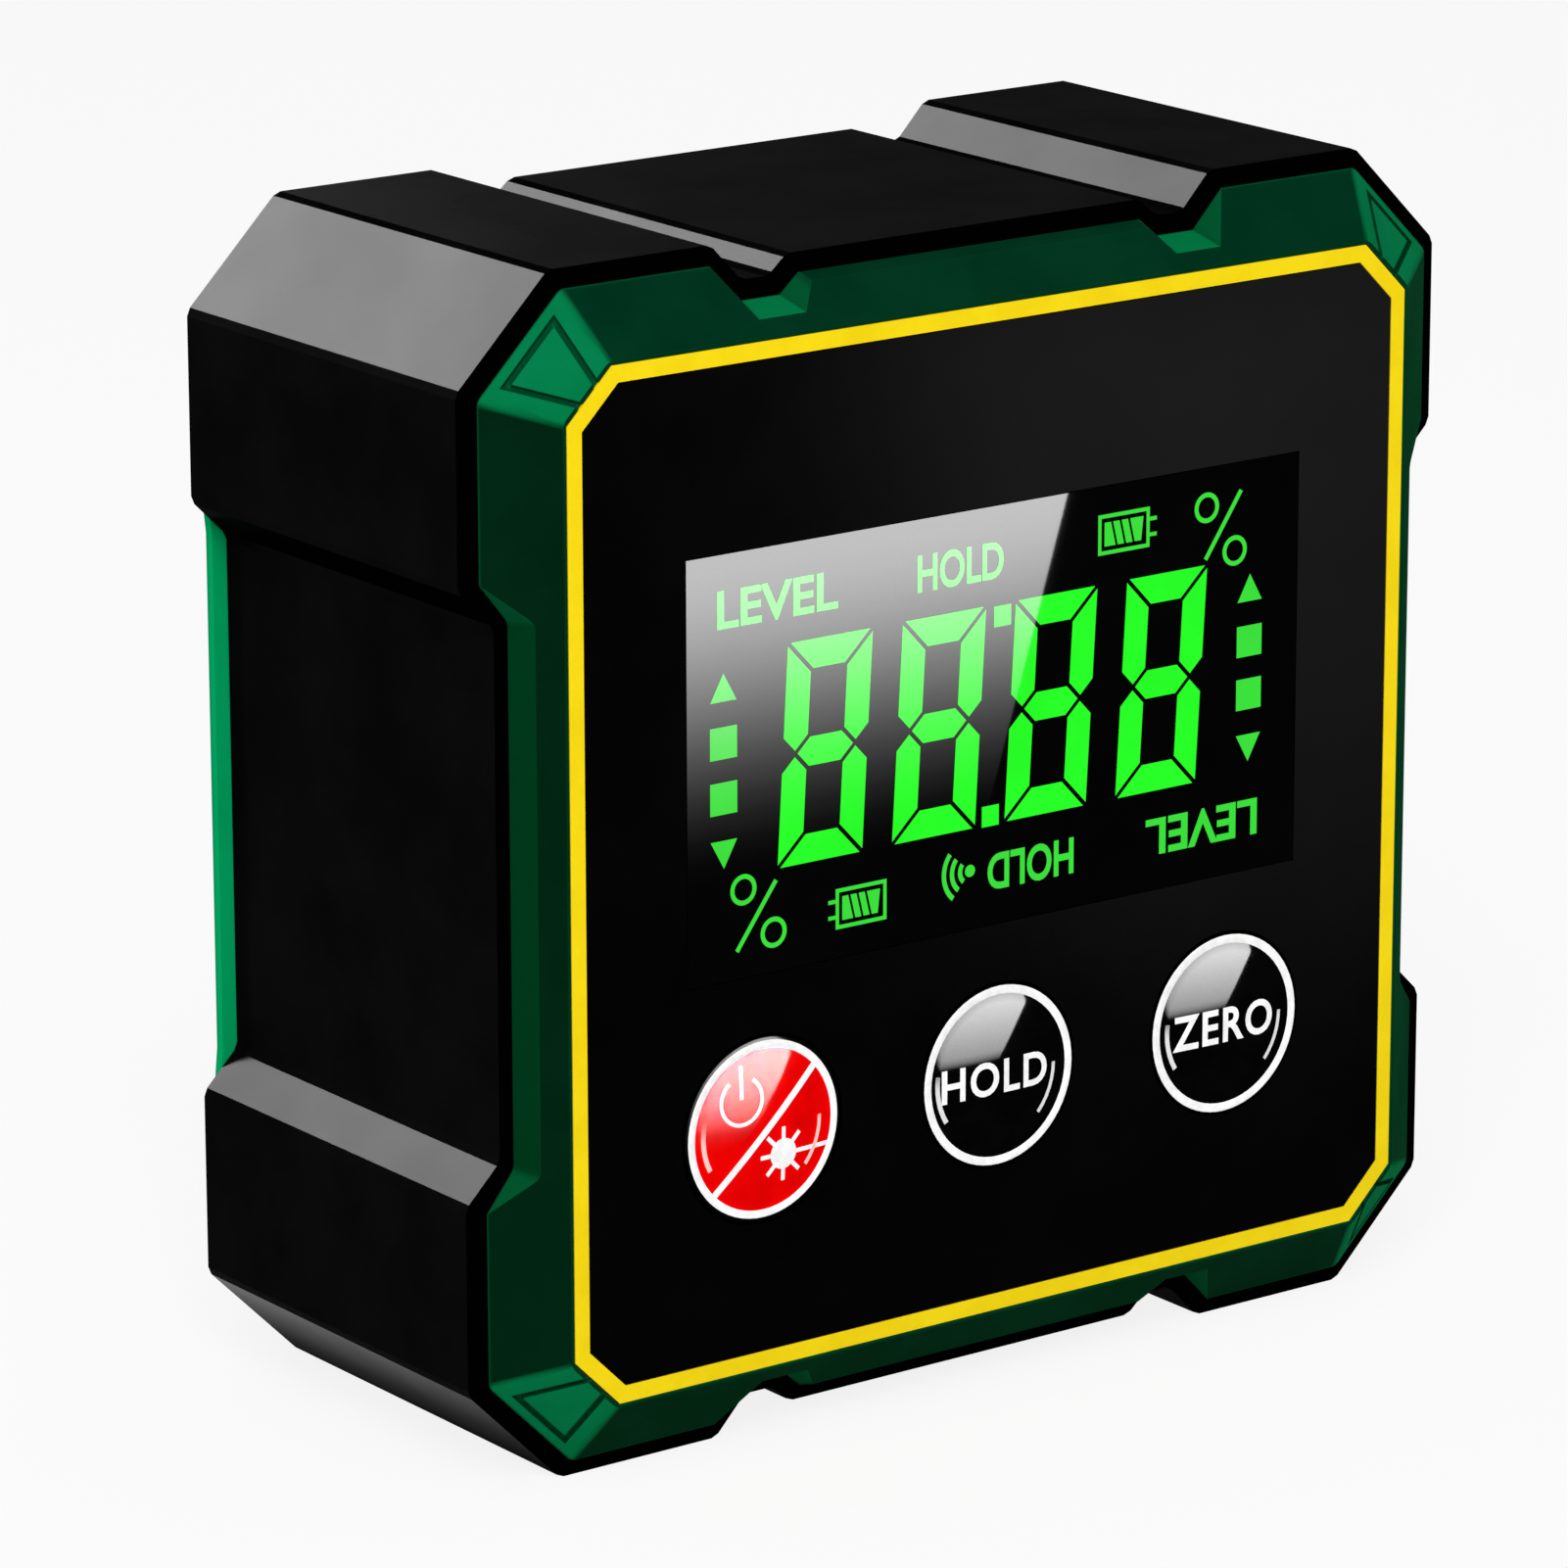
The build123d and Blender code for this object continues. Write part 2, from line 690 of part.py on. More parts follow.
def spring_catch():
    # the folded leg that a finger pulls down: in on the door's side, round the bend and out again
    inner = door_half_height - 2 * catch_leg
    outer_low = catch_top() - catch_leg
    bend_depth = door_inside - catch_depth
    profile = Plane(origin=(-catch_width / 2, 0, middle), x_dir=(0, 1, 0), z_dir=(1, 0, 0))
    inner_leg = make_face(Polyline(
        (bend_depth, inner),
        (face_back - catch_leg, inner),
        (face_back - catch_leg, inner + catch_leg),
        (bend_depth, inner + catch_leg),
        close=True,
    ))
    bend_middle = (bend_depth, inner + catch_leg + catch_bend)
    bend = Pos(*bend_middle) * (Circle(catch_bend + catch_leg) - Circle(catch_bend))
    keep = Pos(bend_depth - catch_bend - catch_leg, bend_middle[1]) * Rectangle(
        2 * (catch_bend + catch_leg), 2 * (catch_bend + catch_leg))
    tip_depth = plate_inside - catch_clearance
    outer_leg = make_face(Polyline(
        (bend_depth, outer_low),
        (face_back - catch_clearance, outer_low),
        (face_back - catch_clearance, catch_top()),
        (tip_depth, catch_top()),
        (tip_depth, catch_top() + catch_tip),
        (tip_depth - 2 * catch_tip, catch_top()),
        (bend_depth, catch_top()),
        close=True,
    ))
    return extrude(profile * (inner_leg + (bend & keep) + outer_leg), amount=catch_width)


def make_battery(up, nub_side):
    # nub_side is -1 where the raised end points to the left
    tip = nub_side * (tray_half_length - contact_thickness)
    shoulder = tip - nub_side * cell_nub
    end = shoulder - nub_side * cell_length
    body = across(cell_radius, min(shoulder, end), max(shoulder, end), cell_depth, up)
    body = chamfer(body.edges().sort_by(Axis.X)[0 if nub_side < 0 else -1], cell_edge)
    return body + across(cell_nub_radius, min(shoulder, tip), max(shoulder, tip), cell_depth, up)


def contact_sheet(side, up, span):
    # sheet that stands against the compartment's end wall, with a solder tail through the floor
    x = side * (tray_half_length - contact_thickness / 2)
    sheet = Pos(x, cell_depth, middle + up) * Box(contact_thickness, contact_height, span)
    sheet = chamfer(sheet.edges().filter_by(Axis.X), contact_thickness)
    low = cell_depth - contact_height / 2
    reach = low - tray_floor + contact_tail_reach
    tail = Pos(x, low - reach / 2, middle + up) * Box(contact_thickness, reach, contact_tail)
    return sheet + tail


def contact_slots():
    slots = Part()
    for side, up in ((-1, cell_spacing / 2), (-1, -cell_spacing / 2)):
        slots += Pos(side * (tray_half_length - contact_thickness / 2), tray_floor + tray_wall / 2,
                     middle + up) * Box(contact_thickness + contact_slot_clearance, tray_wall,
                                        contact_tail + contact_slot_clearance)
    return slots


def make_bridge_plate():
    x = tray_half_length - contact_thickness / 2
    sheet = Pos(x, cell_depth, middle) * Box(contact_thickness, contact_height, cell_spacing + contact_width)
    return chamfer(sheet.edges().filter_by(Axis.X), contact_thickness)


def make_spring(side, up):
    # conical coil that presses on the flat end of a cell, its wire bent in short steps
    base = side * (tray_half_length - contact_thickness - spring_wire - spring_end_gap)
    length = tray_end_room - contact_thickness - 2 * (spring_wire + spring_end_gap)
    count = round(spring_turns * spring_steps)
    points = []
    for step in range(count + 1):
        share = step / count
        radius = spring_big + (spring_small - spring_big) * share
        angle = 2 * pi * step / spring_steps
        points.append((radius * cos(angle), radius * sin(angle), length * share))
    coil = Polyline(*points)
    start = Plane(origin=coil @ 0, z_dir=coil % 0)
    wire = sweep(start * RegularPolygon(spring_wire, 6), path=coil, transition=Transition.RIGHT)
    plane = Plane(origin=(base, cell_depth, middle + up), x_dir=(0, 1, 0), z_dir=(-side, 0, 0))
    return plane * wire


def wire_through(points):
    # straight runs, each bend taken in two steps
    corners = [Vector(*point) for point in points]
    stops = [corners[0]]
    for before, corner, after in zip(corners, corners[1:], corners[2:]):
        stops.append(corner + (before - corner).normalized() * lead_bend)
        stops.append(corner + (after - corner).normalized() * lead_bend)
    path = Polyline(*stops, corners[-1])
    section = Plane(origin=path @ 0, z_dir=path % 0) * RegularPolygon(lead_radius, lead_sides)
    return sweep(section, path=path, transition=Transition.RIGHT)


def make_battery_lead(up):
    # from a contact's tail to its pad on the back of the board
    start_x = -(tray_half_length - contact_thickness / 2)
    start_depth = tray_floor - contact_tail_reach
    start_z = middle + up
    pad_z = start_z - battery_pad_shift if up > 0 else start_z + battery_pad_shift
    pad_x = start_x + battery_pad_inset
    return wire_through([
        (start_x, start_depth, start_z),
        (start_x, board_back + lead_turn, start_z),
        (pad_x, board_back + lead_turn, pad_z),
        (pad_x, board_back, pad_z),
    ])


def make_laser_leads():
    start_x = (cavity_half_width - barrel_setback - barrel_length - driver_board_gap
               - driver_board_thickness)
    leads = []
    for side in (-1, 1):
        z = middle + laser_above_middle + side * laser_lead_spacing / 2
        leads.append(wire_through([
            (start_x, laser_depth, z),
            (start_x - laser_lead_run, laser_depth, z),
            (start_x - laser_lead_run, board_back, z),
        ]))
    return leads


def build():
    left, right = -1, 1
    upper, lower = cell_spacing / 2, -cell_spacing / 2
    parts = {
        "frame_band": make_band(),
        "front_bezel": make_front_bezel(),
        "trim_ring": make_trim_ring(),
        "face_panel": make_face_panel(),
        "display_window": make_display_window(),
        "display_cell": make_display_cell(),
        "display_backlight": make_backlight(),
        "display_frame": make_display_frame(),
        "contact_strip": make_contact_strip(),
        "main_board": make_main_board(),
        "processor_chip": make_processor(),
        "tilt_sensor": make_tilt_sensor(),
        "beeper": make_beeper(),
        "capacitor": make_capacitor(),
        "laser_barrel": make_laser_barrel(),
        "laser_lens": make_laser_lens(),
        "laser_driver_board": make_laser_driver(),
        "laser_window": make_laser_window(),
        "rear_cover": make_rear_cover(),
        "battery_door": make_battery_door(),
        "battery_upper": make_battery(upper, left),
        "battery_lower": make_battery(lower, right),
        "positive_plate": contact_sheet(left, upper, contact_width),
        "negative_plate": contact_sheet(left, lower, contact_width),
        "bridge_plate": make_bridge_plate(),
        "bridge_spring": make_spring(right, upper),
        "negative_spring": make_spring(left, lower),
        "battery_lead_positive": make_battery_lead(upper),
        "battery_lead_negative": make_battery_lead(lower),
        "laser_leads": make_laser_leads(),
        "case_screws": make_case_screws(),
    }
    for name, place in zip(("power", "hold", "zero"), button_places):
        parts[name + "_button"] = make_button(place)
        parts[name + "_switch"] = make_switch_case(place)
        parts[name + "_plunger"] = make_plunger(place)
    return parts


os.makedirs("parts", exist_ok=True)
for name, shape in build().items():
    if isinstance(shape, list):
        shape = Compound(children=shape)
    export_step(shape, f"parts/{name}.step")
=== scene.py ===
import math

import bmesh
import bpy
from mathutils import Matrix, Vector


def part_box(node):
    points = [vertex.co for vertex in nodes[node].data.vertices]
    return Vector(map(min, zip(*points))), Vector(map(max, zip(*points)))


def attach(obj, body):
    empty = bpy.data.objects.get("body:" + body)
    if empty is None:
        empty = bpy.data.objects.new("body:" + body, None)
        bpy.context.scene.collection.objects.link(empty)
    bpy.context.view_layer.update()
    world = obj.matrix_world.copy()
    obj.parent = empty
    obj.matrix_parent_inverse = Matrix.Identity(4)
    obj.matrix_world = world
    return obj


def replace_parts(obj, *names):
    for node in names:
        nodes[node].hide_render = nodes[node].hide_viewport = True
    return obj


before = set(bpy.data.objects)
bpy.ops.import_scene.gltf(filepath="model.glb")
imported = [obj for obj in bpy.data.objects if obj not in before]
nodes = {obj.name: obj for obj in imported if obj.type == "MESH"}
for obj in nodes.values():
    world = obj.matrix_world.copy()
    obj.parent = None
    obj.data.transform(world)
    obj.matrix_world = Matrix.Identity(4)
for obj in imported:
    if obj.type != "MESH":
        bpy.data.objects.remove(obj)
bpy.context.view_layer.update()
mm = 0.001
bpy.context.scene.view_settings.view_transform = "Standard"
print("finder: frame loaded")


# shader values and finishes

class Wire:
    # one output of a node; arithmetic written on it adds Math nodes
    def __init__(self, board, socket):
        self.board = board
        self.socket = socket

    def turn(self, name):
        return Wire(self.board, self.socket.node.outputs[name])

    def sum(self, operation, *parts):
        return self.board.add("ShaderNodeMath", {"operation": operation}, dict(enumerate(parts)))

    def __add__(self, other):
        return self.sum("ADD", self, other)

    def __radd__(self, other):
        return self.sum("ADD", other, self)

    def __sub__(self, other):
        return self.sum("SUBTRACT", self, other)

    def __rsub__(self, other):
        return self.sum("SUBTRACT", other, self)

    def __mul__(self, other):
        return self.sum("MULTIPLY", self, other)

    def __rmul__(self, other):
        return self.sum("MULTIPLY", other, self)

    def __abs__(self):
        return self.sum("ABSOLUTE", self)

    def capped(self, most):
        return self.sum("MINIMUM", self, most)

    def ramp(self, low, high):
        # 0 below low, 1 above high, soft in between
        settings = {"interpolation_type": "SMOOTHSTEP"}
        values = {"Value": self, "From Min": low, "From Max": high}
        return self.board.add("ShaderNodeMapRange", settings, values)


class Board:
    # a node tree that nodes are added to
    def __init__(self, tree):
        self.tree = tree

    def feed(self, socket, value):
        if isinstance(value, Wire):
            self.tree.links.new(value.socket, socket)
        elif isinstance(value, tuple) and len(value) == 3 and socket.type == "RGBA":
            socket.default_value = (*value, 1.0)
        else:
            socket.default_value = value

    def add(self, kind, settings=None, values=None, output=0):
        node = self.tree.nodes.new(kind)
        for name, value in (settings or {}).items():
            setattr(node, name, value)
        for name, value in (values or {}).items():
            self.feed(node.inputs[name], value)
        return Wire(self, node.outputs[output])

    def blend(self, factor, first, second):
        # two colours mixed
        settings = {"data_type": "RGBA"}
        return self.add("ShaderNodeMix", settings, {0: factor, 6: first, 7: second}, 2)


blotFade = (0.3, 0.7)  # how softly one shade of a blotted finish gives way to the other


class Finish(Board):
    # a material of one Principled shader, with the masks and noises that the finishes share
    def __init__(self, name, **plain):
        self.material = bpy.data.materials.new(name)
        self.material.use_nodes = True
        super().__init__(self.material.node_tree)
        self.shader = self.tree.nodes["Principled BSDF"]
        self.place = self.add("ShaderNodeTexCoord", output="Object")
        self.set(**plain)

    def set(self, **values):
        # baseColour="..." sets the socket Base Color, and so on
        for name, value in values.items():
            self.feed(self.shader.inputs[socketNames[name]], value)

    def noise(self, size, detail=3.0, stretch=(1.0, 1.0, 1.0)):
        # soft noise whose blots are about this many millimetres across
        spread = self.add("ShaderNodeMapping", {}, {"Vector": self.place, "Scale": stretch})
        return self.add("ShaderNodeTexNoise", {}, {"Vector": spread, "Scale": 1 / (size * mm),
                                                   "Detail": detail, "Roughness": 0.55})

    def blots(self, size, first, second, fade=blotFade):
        # two shades in soft blots
        return self.blend(self.noise(size).ramp(*fade), first, second)

    def rounded(self, radius):
        # shading normal that runs softly over the edges of a CAD piece
        return self.add("ShaderNodeBevel", {"samples": 6}, {"Radius": radius * mm})

    def grain(self, height, depth, normal=None):
        values = {"Height": height, "Distance": depth * mm, "Strength": 1.0}
        if normal is not None:
            values["Normal"] = normal
        self.set(normal=self.add("ShaderNodeBump", {}, values))

    def edges(self, radius):
        # 1 on sharp edges, 0 on flats
        soft = self.rounded(radius)
        hard = self.add("ShaderNodeNewGeometry", output="True Normal")
        along = self.add("ShaderNodeVectorMath", {"operation": "DOT_PRODUCT"}, {0: soft, 1: hard}, "Value")
        return (1.0 - along).ramp(0.02, 0.2)

    def spot(self, way):
        # the place on the piece along X, Y or Z, in millimetres
        return self.add("ShaderNodeSeparateXYZ", {}, {0: self.place}).turn(way) * (1 / mm)

    def facing(self):
        # the way that the surface faces, as three values
        return self.add("ShaderNodeSeparateXYZ", {}, {0: self.place.turn("Normal")})

    def hollows(self, reach):
        # 1 down in a narrow hollow, 0 on open faces; it marks where shade is painted
        clear = self.add("ShaderNodeAmbientOcclusion", {"samples": 8, "only_local": True},
                         {"Distance": reach * mm}, "AO")
        return (1.0 - clear).ramp(0.08, 0.32)


socketNames = {
    "baseColour": "Base Color", "roughness": "Roughness", "metallic": "Metallic", "normal": "Normal",
    "coat": "Coat Weight", "coatRoughness": "Coat Roughness", "specular": "Specular IOR Level",
    "glow": "Emission Color", "glowStrength": "Emission Strength", "transmission": "Transmission Weight",
}


def srgb(red, green, blue):
    # a colour as a paint program shows it, 0 to 255
    def straight(level):
        level /= 255
        return level / 12.92 if level <= 0.04045 else ((level + 0.055) / 1.055) ** 2.4
    return (straight(red), straight(green), straight(blue))


# camera, floor and light

cameraSetup = {
    "azimuth": 36.4833,  # degrees to the left of the face
    "elevation": 15.5057,
    "roll": -0.12,
    "distance": 407.945,  # mm
    "target": (0.0, 0.4, 30.0),
    "shift": (-1.71685, -1.65753),
    "lens": 184.99,
    "sensor": 36.0,
    "nearest": 10.0,
}


def cameraAxes(setup):
    azimuth, elevation = math.radians(setup["azimuth"]), math.radians(setup["elevation"])
    looking = Vector((math.sin(azimuth) * math.cos(elevation), math.cos(azimuth) * math.cos(elevation),
                      -math.sin(elevation)))
    right = Vector((math.cos(azimuth), -math.sin(azimuth), 0.0))
    return right, right.cross(looking), looking


def cameraPlace(setup):
    # in millimetres
    right, up, looking = cameraAxes(setup)
    across, above = setup["shift"]
    return Vector(setup["target"]) + right * across + up * above - looking * setup["distance"]


def placeCamera(setup):
    right, up, looking = cameraAxes(setup)
    roll = math.radians(setup["roll"])
    side = right * math.cos(roll) + up * math.sin(roll)
    top = up * math.cos(roll) - right * math.sin(roll)
    turn = Matrix((side, top, -looking)).transposed().to_4x4()
    data = bpy.data.cameras.new("camera")
    data.lens = setup["lens"]
    data.sensor_width = setup["sensor"]
    data.clip_start = setup["nearest"] * mm
    camera = bpy.data.objects.new("camera", data)
    camera.matrix_world = Matrix.Translation(cameraPlace(setup) * mm) @ turn
    bpy.context.scene.collection.objects.link(camera)
    bpy.context.scene.camera = camera


lighting = {
    "sky": 0.5,
    "floor": (0.80, 0.80, 0.80),
    "floorGlow": 0.86,  # share of plain white in the floor
    "floorHalf": 6000.0,
    "keyPlace": (-420, -520, 620),
    "keyAim": (0, 0, 30),
    "keySize": 420,
    "keyPower": 6.0,
}


def whiteToEye(board):
    # 1 for the rays that see the background: the camera's, reflections and glass
    path = board.add("ShaderNodeLightPath", output="Is Camera Ray")
    return (path + path.turn("Is Glossy Ray") + path.turn("Is Transmission Ray")).capped(1.0)


def lightSky(level):
    world = bpy.data.worlds.new("studio")
    bpy.context.scene.world = world
    world.use_nodes = True
    board = Board(world.node_tree)
    background = world.node_tree.nodes["Background"]
    board.feed(background.inputs["Color"], (1.0, 1.0, 1.0))
    board.feed(background.inputs["Strength"], whiteToEye(board) * (1.0 - level) + level)


def layFloor(setup):
    shape = bmesh.new()
    bmesh.ops.create_grid(shape, x_segments=1, y_segments=1, size=setup["floorHalf"] * mm)
    mesh = bpy.data.meshes.new("floor")
    shape.to_mesh(mesh)
    shape.free()
    floor = bpy.data.objects.new("floor", mesh)
    bpy.context.scene.collection.objects.link(floor)
    finish = Finish("floorSheet", baseColour=setup["floor"], roughness=0.9, specular=0.0)
    white = finish.add("ShaderNodeEmission", {}, {"Color": (1.0, 1.0, 1.0), "Strength": 1.0})
    sheet = Wire(finish, finish.shader.outputs[0])
    mixed = finish.add("ShaderNodeMixShader", {}, {
        0: whiteToEye(finish) * setup["floorGlow"], 1: sheet, 2: white})
    output = finish.tree.nodes["Material Output"]
    finish.feed(output.inputs["Surface"], mixed)
    mesh.materials.append(finish.material)


def hangKey(setup):
    data = bpy.data.lights.new("key", "AREA")
    data.energy = setup["keyPower"]
    data.size = setup["keySize"] * mm
    key = bpy.data.objects.new("key", data)
    place = Vector(setup["keyPlace"]) * mm
    aim = Vector(setup["keyAim"]) * mm - place
    key.matrix_world = Matrix.Translation(place) @ aim.to_track_quat("-Z", "Y").to_matrix().to_4x4()
    key.visible_glossy = False
    bpy.context.scene.collection.objects.link(key)


placeCamera(cameraSetup)
lightSky(lighting["sky"])
layFloor(lighting)
hangKey(lighting)
print("finder: camera, floor and light placed")


# cards that the glossy skins reflect; neither the camera nor the diffuse light sees them

def cardLight(name, strength):
    # glows by the card's own fade, and lets what is reflected behind it through
    material = bpy.data.materials.new(name + "Light")
    material.use_nodes = True
    board = Board(material.node_tree)
    board.tree.nodes.remove(board.tree.nodes["Principled BSDF"])
    fade = board.add("ShaderNodeVertexColor", {"layer_name": "fade"})
    glow = board.add("ShaderNodeEmission", {}, {"Color": fade, "Strength": strength})
    both = board.add("ShaderNodeAddShader", {}, {0: glow, 1: board.add("ShaderNodeBsdfTransparent")})
    board.feed(board.tree.nodes["Material Output"].inputs["Surface"], both)
    return material


def hangCard(name, rows, strength, seenBy):
    # each row is the card's left and right point, in millimetres, and how brightly it glows at each
    shape = bmesh.new()
    fade = shape.verts.layers.float_color.new("fade")
    pairs = []
    for ends in rows:
        pair = []
        for point, level in zip(ends[:2], (ends[2], ends[-1])):
            pair.append(shape.verts.new(Vector(point) * mm))
            pair[-1][fade] = (level, level, level, 1.0)
        pairs.append(pair)
    for below, above in zip(pairs, pairs[1:]):
        shape.faces.new((below[0], below[1], above[1], above[0]))
    mesh = bpy.data.meshes.new(name)
    shape.to_mesh(mesh)
    shape.free()
    card = bpy.data.objects.new(name, mesh)
    bpy.context.scene.collection.objects.link(card)
    mesh.materials.append(cardLight(name, strength))
    for way in ("camera", "diffuse", "transmission", "shadow", "volume_scatter"):
        setattr(card, "visible_" + way, False)
    receivers = bpy.data.collections.new(name + "Receivers")
    for piece in seenBy:
        receivers.objects.link(piece)
    card.light_linking.receiver_collection = receivers


def mirrored(point, depth, distance):
    # where the camera's look at a point of the face goes on to, this far in front of the face
    eye = cameraPlace(cameraSetup)
    behind = Vector((eye.x, 2 * depth - eye.y, eye.z))
    spot = Vector((point[0], depth, point[1]))
    return behind + (spot - behind) * (1 + distance / abs(behind.y - depth))


# shapes; all of these work in millimetres

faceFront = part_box("display_window")[0].y / mm
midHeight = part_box("frame_band")[1].z / mm / 2


def span(node):
    # lowest and highest corner of a CAD piece, to three decimals
    return [[round(value / mm, 3) for value in corner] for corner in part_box(node)]


def centreOf(node):
    return [(low + high) / 2 for low, high in zip(*span(node))]


def newPiece(name, shape, finish, body, smooth=None):
    bmesh.ops.recalc_face_normals(shape, faces=shape.faces)
    bmesh.ops.scale(shape, vec=(mm, mm, mm), verts=shape.verts)
    mesh = bpy.data.meshes.new(name)
    shape.to_mesh(mesh)
    shape.free()
    if smooth is None:
        mesh.shade_flat()
    else:
        mesh.shade_smooth()
        mesh.set_sharp_from_angle(angle=math.radians(smooth))
    mesh.materials.append(finish.material)
    piece = bpy.data.objects.new(name, mesh)
    bpy.context.scene.collection.objects.link(piece)
    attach(piece, body)
    return piece


def thicken(shape, faces, thickness):
    # makes flat faces solid, away from whoever looks at the display
    pushed = bmesh.ops.extrude_face_region(shape, geom=faces, use_keep_orig=True)
    moved = [item for item in pushed["geom"] if isinstance(item, bmesh.types.BMVert)]
    bmesh.ops.translate(shape, vec=(0.0, thickness, 0.0), verts=moved)


def plate(shape, outline, front, thickness):
    # a flat sheet with (x, z) corners
    corners = [shape.verts.new((x, front, z)) for x, z in outline]
    thicken(shape, [shape.faces.new(corners)], thickness)


def box(shape, low, high):
    made = bmesh.ops.create_cube(shape, size=1.0)["verts"]
    size = [b - a for a, b in zip(low, high)]
    bmesh.ops.scale(shape, vec=size, verts=made)
    bmesh.ops.translate(shape, vec=[(a + b) / 2 for a, b in zip(low, high)], verts=made)


def strokeCorners(start, end, width):
    # the corners of a straight stroke between two points on the face
    start, end = Vector(start), Vector(end)
    along = (end - start).normalized() * width / 2
    side = Vector((-along.y, along.x))
    return [start + side, start - side, end - side, end + side]


joinReach = 1e-5  # points closer than this are one


def closeEnds(shape, edges):
    bmesh.ops.holes_fill(shape, edges=[e for e in edges if e.is_boundary], sides=0)


def turned(shape, profile, centre, way, steps=64, closed=False):
    # profile is (radius, distance) points; the distance runs along way from centre
    out = Vector(way).orthogonal().normalized()
    points = [shape.verts.new(Vector(centre) + Vector(way) * along + out * radius)
              for radius, along in profile]
    pairs = list(zip(points, points[1:]))
    if closed:
        pairs.append((points[-1], points[0]))
    lines = [shape.edges.new(pair) for pair in pairs]
    bmesh.ops.spin(shape, geom=points + lines, cent=centre, axis=way, dvec=(0.0, 0.0, 0.0),
                   angle=2 * math.pi, steps=steps, use_merge=True)
    bmesh.ops.remove_doubles(shape, verts=shape.verts, dist=joinReach)


def bentBar(shape, centre, radius, width, start, sweep, front, thickness):
    # a flat bar bent round a centre on the face; angles in degrees from the right, anticlockwise
    x, z = centre
    out = Vector((math.cos(math.radians(start)), 0.0, math.sin(math.radians(start))))
    pivot = Vector((x, front, z))
    corners = [pivot + out * (radius + side * width / 2) + Vector((0.0, depth, 0.0))
               for side, depth in ((-1, 0.0), (1, 0.0), (1, thickness), (-1, thickness))]
    ring = [shape.verts.new(corner) for corner in corners]
    loop = [shape.edges.new((ring[k - 1], ring[k])) for k in range(4)]
    full = abs(sweep) >= 360
    before = set(shape.edges)
    steps = max(6, round(abs(sweep) / 7))  # about seven degrees each
    bmesh.ops.spin(shape, geom=ring + loop, cent=pivot, axis=(0.0, -1.0, 0.0), dvec=(0.0, 0.0, 0.0),
                   angle=math.radians(sweep), steps=steps, use_merge=full)
    if not full:
        closeEnds(shape, loop + [e for e in shape.edges if e not in before])


def disc(shape, centre, radius, front, thickness, sides=40):
    made = bmesh.ops.create_circle(shape, cap_ends=True, segments=sides, radius=radius)["verts"]
    place = Matrix.Translation((centre[0], front, centre[1])) @ Matrix.Rotation(math.pi / 2, 4, "X")
    bmesh.ops.transform(shape, matrix=place, verts=made)
    thicken(shape, list(made[0].link_faces), thickness)


def addCurve(shape, curve):
    # makes a curve or a text a mesh, and adds it to the shape
    maker = bpy.data.objects.new(curve.name, curve)
    bpy.context.scene.collection.objects.link(maker)
    bpy.context.view_layer.update()
    made = bpy.data.meshes.new_from_object(maker.evaluated_get(bpy.context.evaluated_depsgraph_get()))
    bpy.data.objects.remove(maker)
    shape.from_mesh(made)
    bpy.data.meshes.remove(made)


def lettering(shape, word, low, high, front, thickness, weight, upsideDown=False, spacing=1.0):
    # a word cut from sheet that fills the box from low to high on the face
    curve = bpy.data.curves.new(word, "FONT")
    curve.body = word
    curve.offset = weight
    curve.space_character = spacing
    curve.resolution_u = 5
    known = set(shape.verts)
    addCurve(shape, curve)
    letters = [v for v in shape.verts if v not in known]
    bmesh.ops.remove_doubles(shape, verts=letters, dist=joinReach)
    letters = [v for v in shape.verts if v not in known]
    left, right = min(v.co.x for v in letters), max(v.co.x for v in letters)
    foot, head = min(v.co.y for v in letters), max(v.co.y for v in letters)
    across, upward = (high[0] - low[0]) / (right - left), (high[1] - low[1]) / (head - foot)
    centre = Vector(((low[0] + high[0]) / 2, front, (low[1] + high[1]) / 2))
    turn = Matrix.Rotation(math.pi / 2, 4, "X")
    if upsideDown:
        turn = Matrix.Rotation(math.pi, 4, "Y") @ turn
    place = (Matrix.Translation(centre) @ turn @ Matrix.Diagonal((across, upward, 1.0, 1.0))
             @ Matrix.Translation((-(left + right) / 2, -(foot + head) / 2, 0.0)))
    bmesh.ops.transform(shape, matrix=place, verts=letters)
    thicken(shape, [f for f in shape.faces if f.verts[0] in set(letters)], thickness)


# lit signs of the display

signs = {
    "proud": 0.012,
    "thickness": 0.05,
    "digitColour": srgb(40, 255, 40),
    "markColour": srgb(60, 225, 60),
    "dimmer": 0.94,  # share of the colour in the dimmer blots
    "blot": 3.0,
}
signFront = faceFront - signs["proud"]


def signPlate(shape, outline):
    plate(shape, outline, signFront, signs["thickness"])


def signBox(shape, low, high):
    signPlate(shape, [low, (high[0], low[1]), high, (low[0], high[1])])


def squareSign(shape, x, z, size):
    half = size / 2
    signBox(shape, (x - half, z - half), (x + half, z + half))


digits = {
    "foot": 29.6,
    "head": 40.72,
    "width": 5.1,
    "lefts": (-13.55, -6.62, 0.33, 7.32),  # where the feet start
    "slant": 0.65,
    "bar": 1.45,
    "gap": 0.11,  # half the dark line between two bars
    "dots": ((0.15, 40.1), (-0.55, 30.05)),
    "dotSize": 1.05,
}


